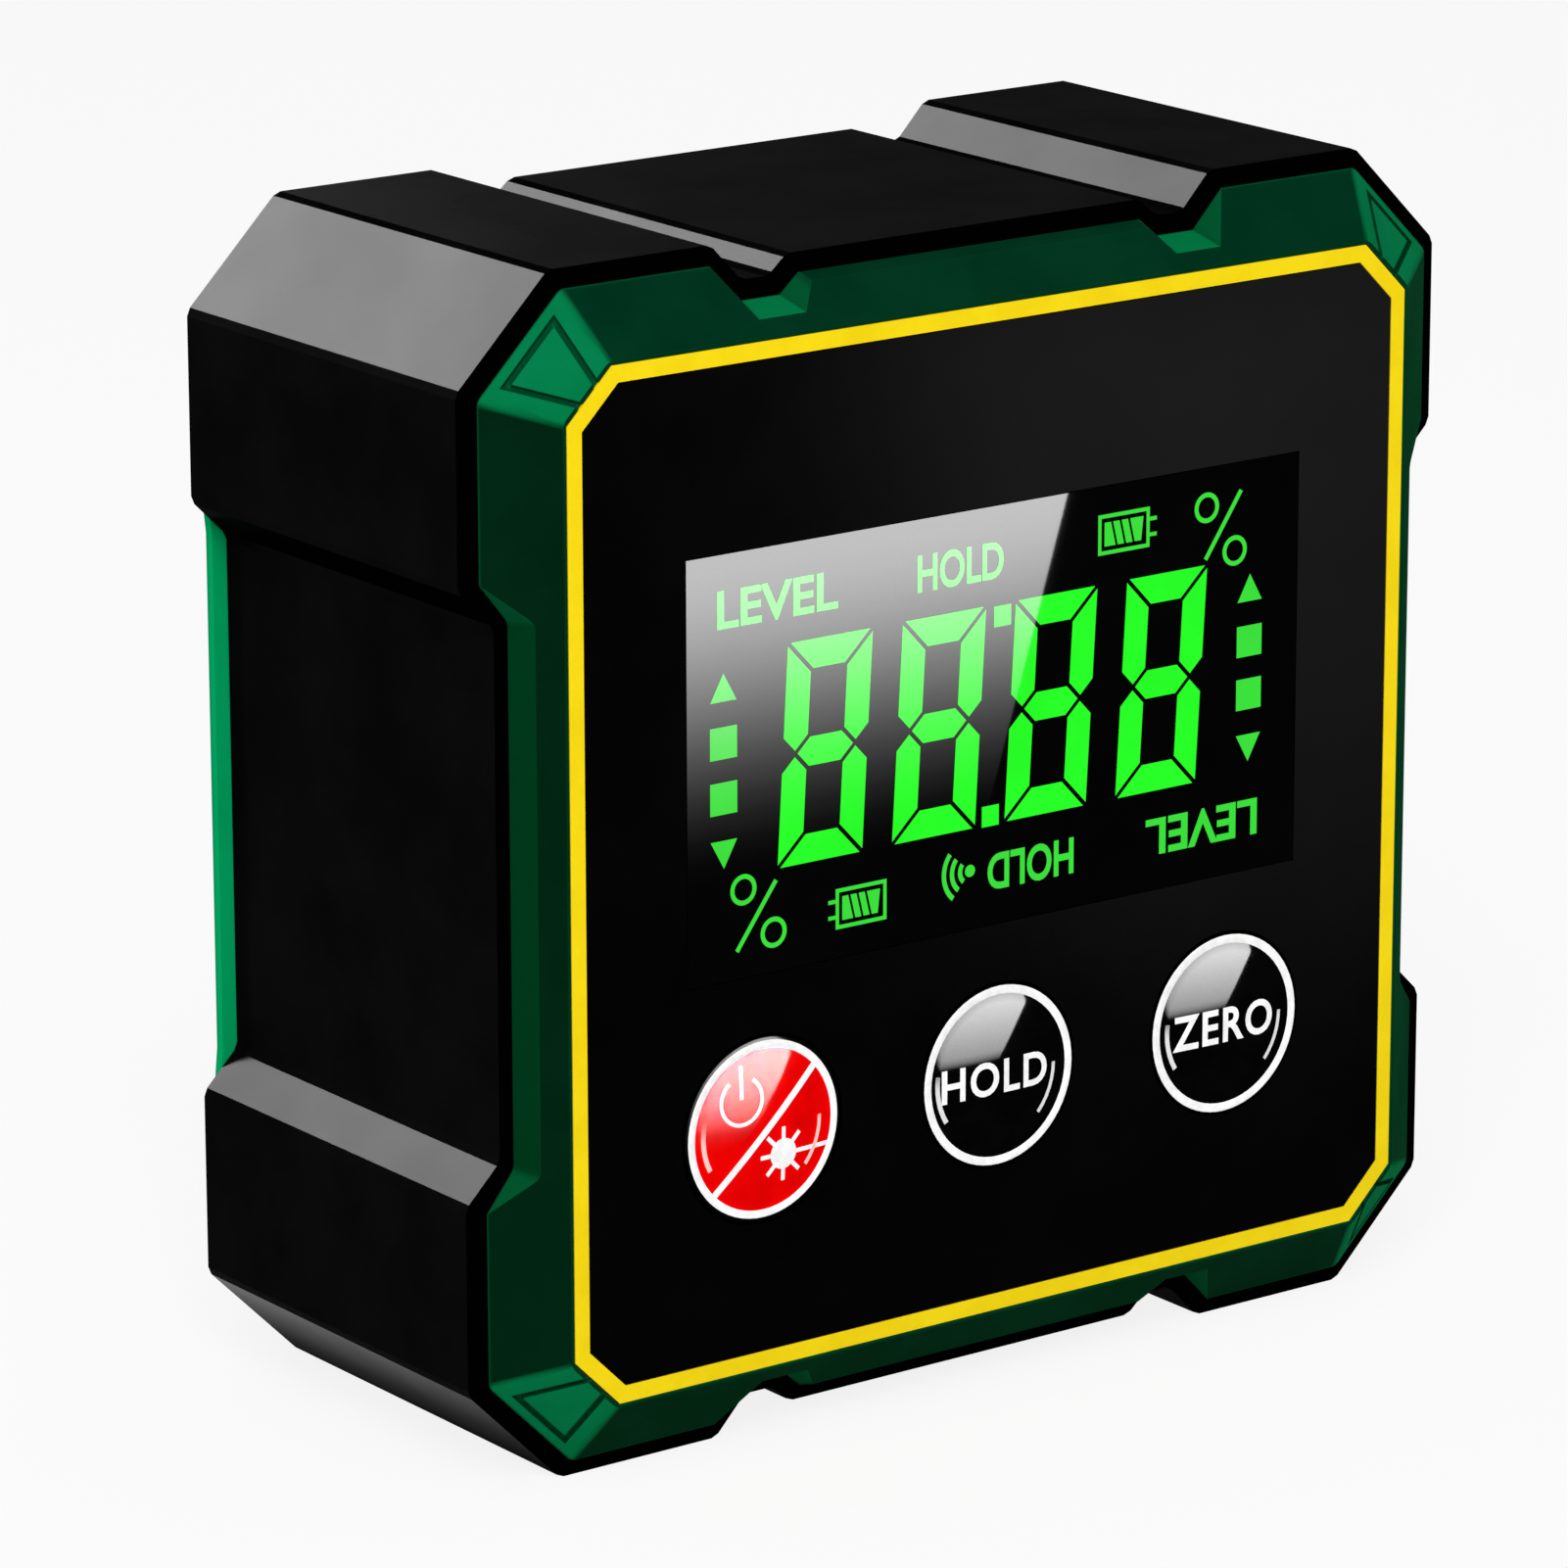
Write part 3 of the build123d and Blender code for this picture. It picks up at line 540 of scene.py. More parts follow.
def digitBars():
    # the seven bars of an upright digit whose foot starts at 0, 0
    width, tall = digits["width"], digits["head"] - digits["foot"]
    bar, gap = digits["bar"], digits["gap"] * math.sqrt(2)
    half = tall / 2
    top = [(gap, tall), (width - gap, tall), (width - gap - bar, tall - bar), (gap + bar, tall - bar)]
    side = [(0, tall - gap), (bar, tall - gap - bar), (bar, half + gap + bar / 2),
            (bar / 2, half + gap), (0, half + gap + bar / 2)]
    waist = [(gap + bar / 2, half), (gap + bar, half + bar / 2), (width - gap - bar, half + bar / 2),
             (width - gap - bar / 2, half), (width - gap - bar, half - bar / 2), (gap + bar, half - bar / 2)]
    swapped = [(width - x, z) for x, z in side]
    bars = [top, side, swapped, waist]
    return bars + [[(x, tall - z) for x, z in outline] for outline in (top, side, swapped)]


def digitSigns(shape):
    lean = digits["slant"] / (digits["head"] - digits["foot"])
    for left in digits["lefts"]:
        for outline in digitBars():
            signPlate(shape, [(left + x + lean * z, digits["foot"] + z) for x, z in outline])
    for x, z in digits["dots"]:
        squareSign(shape, x, z, digits["dotSize"])


charge = {
    "places": ((6.1, 9.8, 42.2, 44.25, 1), (-10.5, -6.95, 25.9, 27.95, -1)),  # sides, foot, head, nub's side
    "line": 0.2,
    "nub": 0.45,
    "nubHalf": 0.5,
    "beside": 0.2,  # between the outline and the bars
    "above": 0.22,
    "bars": 4,
    "gap": 0.14,
    "lean": 0.3,
}


def chargeSign(shape, left, right, foot, head, nubSide):
    # outline of a cell with a nub and slanted bars inside
    line, nub = charge["line"], charge["nub"]
    start, end = (left, right - nub) if nubSide > 0 else (left + nub, right)
    signBox(shape, (start, foot), (end, foot + line))
    signBox(shape, (start, head - line), (end, head))
    signBox(shape, (start, foot + line), (start + line, head - line))
    signBox(shape, (end - line, foot + line), (end, head - line))
    centre = (foot + head) / 2
    near, far = (end, right) if nubSide > 0 else (left, start)
    for low in (centre - charge["nubHalf"], centre + charge["nubHalf"] - line):
        signBox(shape, (near, low), (far, low + line))
    low, high = foot + line + charge["above"], head - line - charge["above"]
    first, last = start + line + charge["beside"], end - line - charge["beside"]
    count, lean, gap = charge["bars"], charge["lean"], charge["gap"]
    step = (last - first - lean) / count
    for k in range(count):
        x = first + step * k
        ends = [(x, high), (x + step - gap, high), (x + step - gap + lean, low), (x + lean, low)]
        if k == 0:
            ends[3] = (x, low)
        if k == count - 1:
            ends[1] = (last, high)
        signPlate(shape, ends)


marks = {
    "percents": (  # the middles of two rings and the ends of the stroke between them
        ((13.0, 43.65), (14.83, 41.2), (12.95, 41.0), (15.2, 44.25)),
        ((-15.6, 28.9), (-13.8, 26.45), (-16.0, 25.85), (-13.65, 29.05)),
    ),
    "percentRing": 0.66,
    "percentLine": 0.24,
    "columns": (-16.75, 15.85),
    "squares": (36.4, 33.65),
    "squareSize": 1.6,
    "arrows": ((39.85, 38.45), (30.15, 31.55)),  # height of each tip and its base
    "arrowHalf": 0.78,
    "sound": (-1.8, 27.45),
    "soundDot": 0.31,
    "soundRadii": (0.62, 1.12, 1.62),
    "soundLine": 0.26,
    "soundSweep": (140, 90),  # start and sweep in degrees
}


def percentSign(shape, first, second, start, end):
    line = marks["percentLine"]
    for centre in (first, second):
        bentBar(shape, centre, marks["percentRing"], line, 0, 360, signFront, signs["thickness"])
    signPlate(shape, [corner[:] for corner in strokeCorners(start, end, line)])


def arrowColumn(shape, x):
    for z in marks["squares"]:
        squareSign(shape, x, z, marks["squareSize"])
    half = marks["arrowHalf"]
    for tip, base in marks["arrows"]:
        signPlate(shape, [(x - half, base), (x + half, base), (x, tip)])


def markSigns(shape):
    for x in marks["columns"]:
        arrowColumn(shape, x)
    for places in marks["percents"]:
        percentSign(shape, *places)
    for place in charge["places"]:
        chargeSign(shape, *place)
    disc(shape, marks["sound"], marks["soundDot"], signFront, signs["thickness"])
    for radius in marks["soundRadii"]:
        bentBar(shape, marks["sound"], radius, marks["soundLine"], *marks["soundSweep"], signFront,
                signs["thickness"])


words = {
    "weight": 0.024,
    "places": (  # word, lowest and highest corner, and whether it stands on its head
        ("LEVEL", (-17.1, 42.0), (-9.9, 43.9), False),
        ("HOLD", (-5.1, 42.0), (0.2, 43.9), False),
        ("HOLD", (-0.7, 26.2), (4.7, 28.1), True),
        ("LEVEL", (9.3, 26.25), (16.5, 28.15), True),
    ),
}


def wordSigns(shape):
    for word, low, high, over in words["places"]:
        lettering(shape, word, low, high, signFront, signs["thickness"], words["weight"], over)


def litFinish(name, colour):
    finish = Finish(name, roughness=0.35, specular=0.0, coat=0.02, coatRoughness=0.02, glowStrength=1.0)
    finish.set(baseColour=(0.0, 0.01, 0.0))
    finish.set(glow=finish.blots(signs["blot"], colour, tuple(signs["dimmer"] * level for level in colour)))
    return finish


def makeSigns():
    digitFinish = litFinish("litDigits", signs["digitColour"])
    markFinish = litFinish("litMarks", signs["markColour"])
    pieces = []
    for name, maker, finish in (("digit_bars", digitSigns, digitFinish),
                                ("mark_signs", markSigns, markFinish),
                                ("word_signs", wordSigns, markFinish)):
        shape = bmesh.new()
        maker(shape)
        pieces.append(newPiece(name, shape, finish, "housing"))
    return pieces


# round caps

caps = {
    "radius": 4.65,
    "blot": 1.6,
    "roughness": 0.4,
    "coat": (0.02, 0.03),  # weight and roughness
    "printRoughness": 0.45,
    "printCoat": (0.02, 0.05),
    "printBlot": 0.5,
    "printFade": (0.35, 0.65),
    "rings": {"power": (4.1, 4.5), "hold": (4.2, 4.63), "zero": (4.2, 4.65)},
    "ringSink": 0.03,  # the white lines reach this far out of the rim and into it
    "ringSoft": (0.05, 0.04, 0.02),  # their rounding: inside, outside and down
    "domeEdge": 4.2,
    "domeRise": 0.2,
    "rimProud": 0.05,
    "wall": 0.9,
    "back": -11.7,
    "postBack": -11.6,
    "postHalves": (1.7, 0.4),  # of the cross-shaped post that stands on the key switch
    "lugReach": 0.55,
    "lugRoot": 0.3,  # how deep each lug starts in the wall
    "lugWidth": 3.0,
    "lugThickness": 0.7,
    "printProud": 0.02,
    "printThickness": 0.08,
    "printWay": (-0.18, 0.09),  # the prints sit this far left of and above the middle
    # painted highlights: pale arcs on each cap's dome stand in for glints
    "arcFade": (16.3, 17.8),
    "arcWidths": (0.25, 0.2),
    "arcs": {  # radius, start and sweep in degrees, left and right
        "power": ((3.45, 158, 50), (3.53, -41, 42)),
        "hold": ((3.66, 172, 40), (3.6, -43, 43)),
        "zero": ((3.58, 172, 40), (3.72, -41, 41)),
    },
    "red": (srgb(235, 0, 0), srgb(222, 0, 0)),
    "black": (srgb(0, 0, 0), srgb(3, 3, 3)),
    "white": (srgb(252, 252, 252), srgb(240, 240, 240)),
    "redGlint": (srgb(250, 200, 190), srgb(235, 0, 0)),
    "greyGlint": (srgb(225, 225, 225), srgb(2, 2, 2)),
    "rim": srgb(2, 2, 2),
}
capPlaces = {key: centreOf(key + "_button")[::2] for key in ("power", "hold", "zero")}
rimFront = faceFront - caps["rimProud"]
domeEdge = caps["domeEdge"]
domeTop = rimFront - caps["domeRise"]
domeCurve = domeEdge ** 2 / (2 * caps["domeRise"])


def domeDepth(radius):
    return domeTop + radius ** 2 / (2 * domeCurve)


def capBody(shape, place):
    hollow = caps["radius"] - caps["wall"]
    roof = faceFront + caps["wall"]
    dome = [(domeEdge * k / 10, domeDepth(domeEdge * k / 10)) for k in range(11)]
    x, z = place
    profile = [*dome, (caps["radius"], rimFront), (caps["radius"], caps["back"]), (hollow, caps["back"]),
               (hollow, roof), (0.0, roof)]
    turned(shape, profile, (x, 0.0, z), (0.0, 1.0, 0.0))
    reach, half = caps["radius"] + caps["lugReach"], caps["lugWidth"] / 2
    for side in (-1, 1):
        near, far = sorted((x + side * (hollow + caps["lugRoot"]), x + side * reach))
        box(shape, (near, caps["back"] - caps["lugThickness"], z - half), (far, caps["back"], z + half))
    for wide, high in (caps["postHalves"], caps["postHalves"][::-1]):
        box(shape, (x - wide, roof, z - high), (x + wide, caps["postBack"], z + high))


def capRing(shape, place, inner, outer):
    # the white line printed on the rim
    front, back = rimFront - caps["ringSink"], rimFront + caps["ringSink"]
    inside, outside, down = caps["ringSoft"]
    profile = [(inner, back), (inner, front + down), (inner + inside, front),
               (outer - outside, front), (outer, front + down), (outer, back)]
    x, z = place
    turned(shape, profile, (x, 0.0, z), (0.0, 1.0, 0.0), closed=True)


def drape(shape, place):
    # lays a flat print over the dome of a cap
    x, z = place
    across, up = caps["printWay"]
    for v in shape.verts:
        v.co.x += across
        v.co.z += up
        radius = math.hypot(v.co.x - x, v.co.z - z)
        v.co.y += domeDepth(radius) - caps["printProud"]


def glints(shape, place, arcs):
    for (radius, start, sweep), width in zip(arcs, caps["arcWidths"]):
        bentBar(shape, place, radius, width, start, sweep, 0.0, caps["printThickness"])


def strokePrint(shape, place, start, end, width, cuts=5):
    # a straight stroke with cuts along it, so that it can follow the dome
    x, z = place
    corners = [corner + Vector((x, z)) for corner in strokeCorners(start, end, width)]
    face = shape.faces.new([shape.verts.new((corner.x, 0.0, corner.y)) for corner in corners])
    cut = bmesh.ops.subdivide_edges(shape, edges=[face.edges[1], face.edges[3]], cuts=cuts)
    inner = [item for item in cut["geom_inner"] if isinstance(item, bmesh.types.BMEdge)]
    faces = dict.fromkeys(face for edge in inner for face in edge.link_faces)  # each face once
    thicken(shape, list(faces), caps["printThickness"])


powerPrint = {
    "ring": (-1.2, 1.62),
    "ringRadius": 1.2,
    "ringWidth": 0.2,
    "ringSweep": (125, 290),  # start and sweep in degrees
    "bar": ((-1.2, 3.4), (-1.2, 1.7)),
    "barWidth": 0.21,
    "divider": ((-2.9, -3.05), (3.35, 2.75)),
    "dividerWidth": 0.36,
    "sun": (1.28, -1.5),
    "sunRadius": 0.78,
    "rays": 8,
    "rayStart": 0.6,
    "rayWidth": 0.22,
    "rayReach": 1.38,
    "beamEnd": 4.25,  # the ray to the right runs on to the cap's edge
}


def powerSigns(shape, place):
    x, z = place
    ringX, ringZ = powerPrint["ring"]
    bentBar(shape, (x + ringX, z + ringZ), powerPrint["ringRadius"], powerPrint["ringWidth"],
            *powerPrint["ringSweep"], 0.0, caps["printThickness"])
    strokePrint(shape, place, *powerPrint["bar"], powerPrint["barWidth"])
    strokePrint(shape, place, *powerPrint["divider"], powerPrint["dividerWidth"])
    sun = Vector(powerPrint["sun"])
    disc(shape, (x + sun.x, z + sun.y), powerPrint["sunRadius"], 0.0, caps["printThickness"])
    for k in range(powerPrint["rays"]):
        turn = 2 * math.pi * k / powerPrint["rays"]
        way = Vector((math.cos(turn), math.sin(turn)))
        reach = powerPrint["beamEnd"] - sun.x if k == 0 else powerPrint["rayReach"]
        strokePrint(shape, place, sun + way * powerPrint["rayStart"], sun + way * reach,
                    powerPrint["rayWidth"], 2)


capWords = {
    "weight": 0.02,
    "spacing": 1.12,
    "hold": ("HOLD", (-3.4, -1.0), (3.15, 0.78)),  # word, lowest and highest corner from the cap's middle
    "zero": ("ZERO", (-3.2, -1.05), (3.25, 0.82)),
}


def capPrint(shape, key):
    x, z = capPlaces[key]
    if key == "power":
        powerSigns(shape, (x, z))
    else:
        word, low, high = capWords[key]
        lettering(shape, word, (x + low[0], z + low[1]), (x + high[0], z + high[1]), 0.0,
                  caps["printThickness"], capWords["weight"], spacing=capWords["spacing"])


def capFinish(name, shades, place=None):
    # where a place is given, the cap is coloured inside its white ring and black round it
    coat, coatRoughness = caps["coat"]
    finish = Finish(name, roughness=caps["roughness"], specular=0.0, coat=coat, coatRoughness=coatRoughness)
    body = finish.blots(caps["blot"], *shades)
    if place:
        across, up = finish.spot("X") - place[0], finish.spot("Z") - place[1]
        away = (across * across + up * up).ramp(domeEdge ** 2, (domeEdge + 0.1) ** 2)
        body = finish.blend(away, body, caps["rim"])
    finish.set(baseColour=body)
    return finish


def printFinish(name):
    coat, coatRoughness = caps["printCoat"]
    return Finish(name, roughness=caps["printRoughness"], specular=0.0, coat=coat,
                  coatRoughness=coatRoughness)


def glintFinish(name, colour, under):
    # painted highlights: the glints are pale arcs drawn on the cap, which run out into the cap's colour at
    # their tops
    finish = printFinish(name)
    finish.set(baseColour=finish.blend(finish.spot("Z").ramp(*caps["arcFade"]), colour, under))
    return finish


def makeCaps():
    red = capFinish("redCap", caps["red"], capPlaces["power"])
    black = capFinish("blackCap", caps["black"])
    white = printFinish("whitePrint")
    white.set(baseColour=white.blots(caps["printBlot"], *caps["white"], caps["printFade"]))
    redGlint, greyGlint = glintFinish("redGlint", *caps["redGlint"]), glintFinish("greyGlint", *caps["greyGlint"])
    made = {}
    for key, place in capPlaces.items():
        body = key + "_key"
        finish, glint, slot = (red, redGlint, "cap_red") if key == "power" else (black, greyGlint, "cap_black")
        shape = bmesh.new()
        capBody(shape, place)
        cap = newPiece(key + "_cap", shape, finish, body, 25)
        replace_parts(cap, key + "_button")
        shape = bmesh.new()
        capRing(shape, place, *caps["rings"][key])
        ring = newPiece(key + "_ring", shape, white, body, 25)
        shape = bmesh.new()
        capPrint(shape, key)
        drape(shape, place)
        sign = newPiece(key + "_print", shape, white, body)
        shape = bmesh.new()
        glints(shape, place, caps["arcs"][key])
        drape(shape, place)
        arcs = newPiece(key + "_arcs", shape, glint, body)
        made[key] = {"cap": cap, "ring": ring, "print": sign, "arcs": arcs}
    return made


signPieces = makeSigns()
print("finder: display signs made")
capPieces = makeCaps()
print("finder: caps made")


# finishes of the CAD pieces

def dress(finish, *names):
    for name in names:
        mesh = nodes[name].data
        if not mesh.materials:
            mesh.materials.append(finish.material)
        for k in range(len(mesh.materials)):
            mesh.materials[k] = finish.material


bandSkin = {
    "shades": (srgb(4, 4, 4), srgb(8, 8, 8)),
    "dark": srgb(1, 1, 1),  # painted shade on the lips and underside
    "blot": 6.0,
    "roughness": (0.5, 0.15),  # least, and the most that the noise adds
    "speckle": 0.4,  # size of that noise
    "coat": (0.012, 0.005),
    "coatRoughness": 0.2,
    "grain": (0.16, 0.004),  # size and depth
    "corner": 0.12,
    "lipPaintedShade": (0.3, 0.8),  # each fade runs between two amounts of facing a way, 1 being square on
    "lipDull": (0.2, 0.5),
    "undersidePaintedShade": (0.2, 0.6),
    "bevelDull": ((0.15, 0.3), (0.45, 0.6)),  # comes in by the first and goes out by the second
}


def bandFinish():
    # black moulded plastic with a fine spark-eroded grain
    finish = Finish("bandBlack", specular=0.0, coatRoughness=bandSkin["coatRoughness"])
    across = finish.facing()
    toViewer, down = abs(across.turn("Y")), across.turn("Z") * -1.0
    cloud = finish.noise(bandSkin["blot"])
    colour = finish.blend(cloud.ramp(*blotFade), *bandSkin["shades"])
    # painted shade: the lips that face front or back, and the faces turned down, are drawn near black
    paintedShade = (toViewer.ramp(*bandSkin["lipPaintedShade"]) + down.ramp(*bandSkin["undersidePaintedShade"])).capped(1.0)
    # the lips are dull, and so are the small bevels along the top edges
    bevelIn, bevelOut = bandSkin["bevelDull"]
    bevel = abs(across).ramp(*bevelIn) - abs(across).ramp(*bevelOut)
    dull = (toViewer.ramp(*bandSkin["lipDull"]) + bevel).capped(1.0)
    roughness, rougher = bandSkin["roughness"]
    coat, thicker = bandSkin["coat"]
    finish.set(baseColour=finish.blend(paintedShade, colour, bandSkin["dark"]),
               roughness=finish.noise(bandSkin["speckle"]) * rougher + roughness,
               coat=(cloud * thicker + coat) * (1.0 - dull))
    size, depth = bandSkin["grain"]
    finish.grain(finish.noise(size, 2.0), depth, finish.rounded(bandSkin["corner"]))
    return finish


# painted light and shade: above, below, left, right and back are lit and shaded copies of one green, picked
# by the way each face looks
greens = {
    "above": (srgb(0, 43, 24), srgb(2, 48, 28)),
    "below": (srgb(0, 42, 20), srgb(2, 48, 25)),
    "left": (srgb(0, 31, 14), srgb(1, 35, 17)),
    "right": (srgb(0, 56, 29), srgb(4, 62, 33)),
    "facetHighlight": (srgb(1, 106, 60), srgb(4, 114, 68)),
    "rearShell": (srgb(0, 156, 91), srgb(2, 162, 96)),
    "back": (srgb(0, 70, 38), srgb(2, 76, 42)),
    "sideWall": srgb(0, 52, 25),
    "litNotchWall": srgb(2, 76, 42),
    "litNotchFloor": srgb(2, 110, 62),
    "notchFrom": (10.2, 10.8),  # the notches lie outside this, and the long step within it
    # painted highlight along sharp edges
    "edge": srgb(2, 100, 58),
    # painted shade down in narrow hollows
    "groove": srgb(0, 58, 31),
    "blot": 5.0,
    "levelFade": (-0.2, 0.2),  # each fade runs between two amounts of facing a way, 1 being square on
    "sideFade": (0.3, 0.6),
    "facetFade": (0.02, 1.0),
    "facetGain": 8.5,  # lifts the product of a corner facet's slants to about 1
    "backFade": (0.85, 0.97),
    "rearShellFade": (0.2, 0.6),
    "notchFloorFade": (0.75, 0.92),
    "notchFade": (0.1, 0.65),
    "frontFade": (0.35, 0.6),
    "edgeHighlightShare": 0.5,
    "grooveReach": 0.5,
    "roughness": (0.4, 0.15),  # least, and the most that the noise adds
    "speckle": 0.5,  # size of that noise
    "coat": 0.012,
    "coatRoughness": 0.35,
    "grain": (0.2, 0.002),
    "corner": 0.15,
}


def greenFinish(name, rear):
    # green moulding with painted light and shade: dark slopes, painted highlights on each corner facet and
    # the notch walls, and a bright rear skirt that is painted light
    finish = Finish(name, specular=0.0, coat=greens["coat"], coatRoughness=greens["coatRoughness"])
    across = finish.facing()
    toViewer, up = across.turn("Y"), across.turn("Z")
    cloud = finish.noise(greens["blot"]).ramp(*blotFade)
    above, below, left, right, facetHighlight, shellLight, back = (finish.blend(cloud, *greens[part]) for part in (
        "above", "below", "left", "right", "facetHighlight", "rearShell", "back"))
    level = finish.blend(up.ramp(*greens["levelFade"]), below, above)
    side = finish.blend(across.ramp(*greens["levelFade"]), left, right)
    slope = finish.blend(abs(across).ramp(*greens["sideFade"]), level, side)
    # painted highlight: faces slanted across two ways, such as each corner facet, get a much lighter green
    slanting = abs(across * toViewer * toViewer * up) * greens["facetGain"]
    colour = finish.blend(slanting.ramp(*greens["facetFade"]), slope, facetHighlight)
    colour = finish.blend(toViewer.ramp(*greens["backFade"]), colour, back)
    # painted light: every face of the rear cover but its back gets a bright green
    if rear:
        colour = finish.blend(toViewer.ramp(*greens["rearShellFade"]), shellLight, colour)
    else:
        # painted light: side walls, notch walls and notch floors get their own lighter greens by the way
        # each face looks
        floor = abs(up).ramp(*greens["notchFloorFade"])
        notch = finish.blend(floor, greens["litNotchWall"], greens["litNotchFloor"])
        notch = finish.blend(abs(finish.spot("X")).ramp(*greens["notchFrom"]), level, notch)
        wall = finish.blend(abs(up).ramp(*greens["notchFade"]), greens["sideWall"], notch)
        colour = finish.blend(abs(toViewer).ramp(*greens["frontFade"]), wall, colour)
    # painted highlight: sharp edges are drawn in a lighter green
    lit = finish.blend(finish.edges(greens["corner"]) * greens["edgeHighlightShare"], colour, greens["edge"])
    roughness, rougher = greens["roughness"]
    # painted shade: narrow hollows, such as the lines cut in the corner facets, get a darker green
    finish.set(baseColour=finish.blend(finish.hollows(greens["grooveReach"]), lit, greens["groove"]),
               roughness=finish.noise(greens["speckle"]) * rougher + roughness)
    size, depth = greens["grain"]
    finish.grain(finish.noise(size, 2.0), depth, finish.rounded(greens["corner"]))
    return finish


boardSkin = {
    "mask": (srgb(12, 74, 44), srgb(16, 84, 50)),
    "track": srgb(34, 116, 66),
    "spacing": 2.4,
    "trackFade": (0.05, 0.09),  # half a track's width, and where its edge ends
    "trackHeight": 0.03,
    "blot": 6.0,
    "roughness": (0.35, 0.06),  # on the mask, and how much smoother it is over a track
}


def boardFinish():
    # green solder mask over copper tracks
    finish = Finish("boardMask", specular=0.4)
    fields = finish.add("ShaderNodeTexVoronoi", {"feature": "DISTANCE_TO_EDGE", "distance": "CHEBYCHEV"},
                        {"Vector": finish.place, "Scale": 1 / (boardSkin["spacing"] * mm)})
    track = 1.0 - fields.ramp(*boardSkin["trackFade"])
    mask = finish.blots(boardSkin["blot"], *boardSkin["mask"])
    roughness, smoother = boardSkin["roughness"]
    finish.set(baseColour=finish.blend(track, mask, boardSkin["track"]),
               roughness=roughness - track * smoother)
    finish.grain(track, boardSkin["trackHeight"])
    return finish


metals = {  # two shades, how the fine lines are squeezed along X, Y and Z, and the roughness
    "canMetal": (srgb(176, 178, 180), srgb(196, 198, 200), (1.0, 0.1, 1.0), 0.3),
    "turnedBrass": (srgb(196, 160, 84), srgb(212, 178, 102), (8.0, 1.0, 1.0), 0.3),
    "contactSteel": (srgb(190, 192, 190), srgb(210, 212, 210), (1.0, 6.0, 1.0), 0.3),
    "screwSteel": (srgb(150, 152, 156), srgb(176, 178, 182), (1.0, 4.0, 1.0), 0.32),
    "cellSteel": (srgb(196, 196, 190), srgb(212, 212, 206), (4.0, 1.0, 1.0), 0.3),
    "springWire": (srgb(190, 192, 190), srgb(210, 212, 210), (1.0, 6.0, 1.0), 0.3),
}


metalLines = {"size": 0.3, "detail": 4.0, "depth": 0.002, "roughness": 0.2}  # of the fine lines on each


def metalFinish(name):
    # metal with fine lines along one way
    first, second, stretch, roughness = metals[name]
    finish = Finish(name, metallic=1.0)
    lines = finish.noise(metalLines["size"], metalLines["detail"], stretch)
    rougher = metalLines["roughness"]
    finish.set(baseColour=finish.blend(lines.ramp(*blotFade), first, second),
               roughness=lines * rougher + roughness - rougher / 2)
    finish.grain(lines, metalLines["depth"])
    return finish


plainSkins = {  # shades are levels from 0 to 255; grain is its size and depth
    "trimYellow": {"on": ["trim_ring"], "shades": ((241, 213, 16), (235, 205, 10)), "blot": 2.5,
                   "roughness": 0.4, "specular": 0.05},
    "faceBlack": {"on": ["face_panel"], "shades": ((0, 0, 0), (2, 2, 2)), "blot": 6.0,
                  "grain": (0.25, 0.001), "specular": 0.0, "coat": 0.02, "coatRoughness": 0.25},
    "windowBlack": {"on": ["display_window"], "shades": ((0, 0, 0), (2, 2, 2)), "blot": 8.0,
                    "roughness": 0.3, "specular": 0.0, "coat": 0.02, "coatRoughness": 0.02},
    "cellGlass": {"on": ["display_cell"], "shades": ((30, 36, 34), (36, 44, 40)), "blot": 6.0,
                  "roughness": 0.15, "specular": 0.5, "coat": 0.5},
    "lightGuide": {"on": ["display_backlight"], "shades": ((232, 236, 232), (222, 228, 224)),
                   "blot": 6.0, "roughness": 0.3, "specular": 0.5, "transmission": 0.4},
    "mouldedCharcoal": {"on": ["display_frame"], "shades": ((30, 31, 33), (38, 39, 41)), "blot": 4.0,
                        "roughness": 0.5, "grain": (0.2, 0.004)},
    "stripRubber": {"on": ["contact_strip"], "shades": ((196, 112, 128), (184, 102, 118)), "blot": 0.4,
                    "roughness": 0.6, "grain": (0.2, 0.01)},
    "chipBlack": {"on": ["processor_chip", "tilt_sensor", "beeper"], "blot": 0.8,
                  "shades": ((28, 28, 30), (36, 36, 38)), "roughness": 0.55, "grain": (0.12, 0.004)},
    "lensClear": {"on": ["laser_lens"], "shades": ((210, 220, 240), (220, 228, 244)),
                  "roughness": 0.08, "specular": 0.5, "transmission": 0.9},
    "laserGlass": {"on": ["laser_window"], "shades": ((62, 0, 4), (76, 2, 6)), "blot": 1.5,
                   "roughness": 0.1, "specular": 0.05, "coat": 0.03},
    "leadRed": {"on": ["battery_lead_positive"], "shades": ((190, 24, 22), (206, 32, 28))},
    "leadBlack": {"on": ["battery_lead_negative", "laser_leads"], "shades": ((24, 24, 24), (32, 32, 32))},
    "switchCase": {"on": ["power_switch", "hold_switch", "zero_switch"], "roughness": 0.5,
                   "shades": ((40, 40, 42), (50, 50, 52)), "grain": (0.15, 0.004)},
    "switchStem": {"on": ["power_plunger", "hold_plunger", "zero_plunger"],
                   "shades": ((210, 210, 204), (222, 222, 216))},
}


def dressPlain(name, on, shades, blot=1.0, roughness=0.45, grain=None, **plain):
    # two close shades in soft blots, with roughness that wanders
    finish = Finish(name, **plain)
    finish.set(baseColour=finish.blots(blot, *(srgb(*shade) for shade in shades)),
               roughness=finish.noise(blot / 3) * 0.12 + roughness - 0.06)
    if grain is not None:
        size, depth = grain
        finish.grain(finish.noise(size, 2.0), depth)
    dress(finish, *on)


